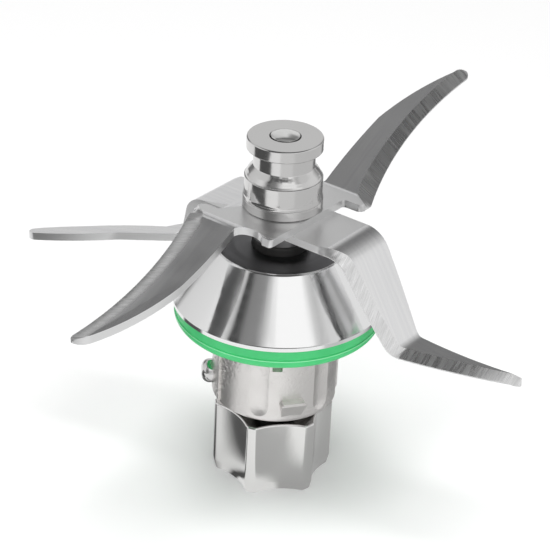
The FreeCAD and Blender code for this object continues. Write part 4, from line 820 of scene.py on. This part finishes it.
def star_sector():
    """Mesh of one sixth of the star, open at its two sides."""
    outline = star_outline()
    rings = [(RECESS_RADIUS, star_low.z), (SHAFT_RADIUS, star_high.z), (SHAFT_RADIUS, RECESS_TOP),
             (RECESS_RADIUS, RECESS_TOP)]
    rings = [([radius] * len(outline), height) for radius, height in rings]
    walls = [([point.length - inset for point in outline], height) for inset, height in star_walls()]
    shape = bmesh.new()
    grid = []
    turn = Matrix.Rotation(TOOTH_ANGLE, 3, "Z")
    for radii, height in rings[:1] + walls + rings[1:]:
        flat = [point.normalized() * radius for point, radius in zip(outline, radii)]
        grid.append([shape.verts.new(turn @ Vector((p.x, p.y, height))) for p in flat])
    for low, high in zip(grid, grid[1:] + grid[:1]):
        for number in range(len(outline) - 1):
            shape.faces.new((low[number], low[number + 1], high[number + 1], high[number]))
    mesh = bpy.data.meshes.new("star_sector")
    shape.to_mesh(mesh)
    shape.free()
    return mesh


# %% [markdown]
# The tree makes as many points as the star has teeth, puts one sector on each, turned by its number,
# makes the copies real and joins their sides. The count and the finish are inputs of the tree, so that
# the same tree could repeat a sector with five teeth or eight.

# %% Geometry Nodes: repeat round the axis
SECTOR_JOIN = 0.02 * MM


def repeat_tree():
    """Tree that repeats a sector round the Z axis."""
    tree = bpy.data.node_groups.new("repeat_round_the_axis", "GeometryNodeTree")
    for name, kind in (("Geometry", "Geometry"), ("Count", "Int"), ("Join Distance", "Float"),
                       ("Finish", "Material")):
        tree.interface.new_socket(name, in_out="INPUT", socket_type=f"NodeSocket{kind}")
    tree.interface.new_socket("Geometry", in_out="OUTPUT", socket_type="NodeSocketGeometry")
    given = add_node(tree, "NodeGroupInput").outputs
    points = add_node(tree, "GeometryNodePoints", {"Count": given["Count"]}).outputs[0]
    number = add_node(tree, "GeometryNodeInputIndex").outputs[0]
    step = calculate(tree, "DIVIDE", 2 * math.pi, given["Count"])
    turn = vector_of(tree, 0.0, 0.0, calculate(tree, "MULTIPLY", number, step))
    copies = add_node(tree, "GeometryNodeInstanceOnPoints", {
        "Points": points, "Instance": given["Geometry"], "Rotation": turn}).outputs[0]
    real = add_node(tree, "GeometryNodeRealizeInstances", {0: copies}).outputs[0]
    joined = add_node(tree, "GeometryNodeMergeByDistance", {
        "Geometry": real, "Distance": given["Join Distance"]}).outputs[0]
    painted = add_node(tree, "GeometryNodeSetMaterial", {
        "Geometry": joined, "Material": given["Finish"]}).outputs[0]
    add_node(tree, "NodeGroupOutput", {0: painted})
    return tree


REPEAT = repeat_tree()


def repeated(name, sector, count, finish):
    """Plain mesh of a sector repeated round the axis."""
    source = bpy.data.objects.new(name, sector)
    bpy.context.scene.collection.objects.link(source)
    modifier = source.modifiers.new("repeat", "NODES")
    modifier.node_group = REPEAT
    values = {"Count": count, "Join Distance": SECTOR_JOIN, "Finish": finish}
    for item in REPEAT.interface.items_tree:
        if item.in_out == "INPUT" and item.name in values:
            modifier[item.identifier] = values[item.name]
    evaluated = source.evaluated_get(bpy.context.evaluated_depsgraph_get())
    mesh = bpy.data.meshes.new_from_object(evaluated)
    bpy.data.objects.remove(source)
    return mesh


# %% Star coupling
RIM_ANGLE = math.radians(50.0)

star_shape = bmesh.new()
star_shape.from_mesh(repeated("star_source", star_sector(), TOOTH_COUNT, CAST_STAR))
bmesh.ops.recalc_face_normals(star_shape, faces=star_shape.faces)
for edge in star_shape.edges:
    if edge.calc_face_angle() > RIM_ANGLE:
        edge.smooth = False
star = finished_piece("star_coupling", star_shape, [CAST_STAR])
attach(star, "rotor")
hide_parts("drive_coupling")
print(f"star: {len(star.data.polygons)} faces")
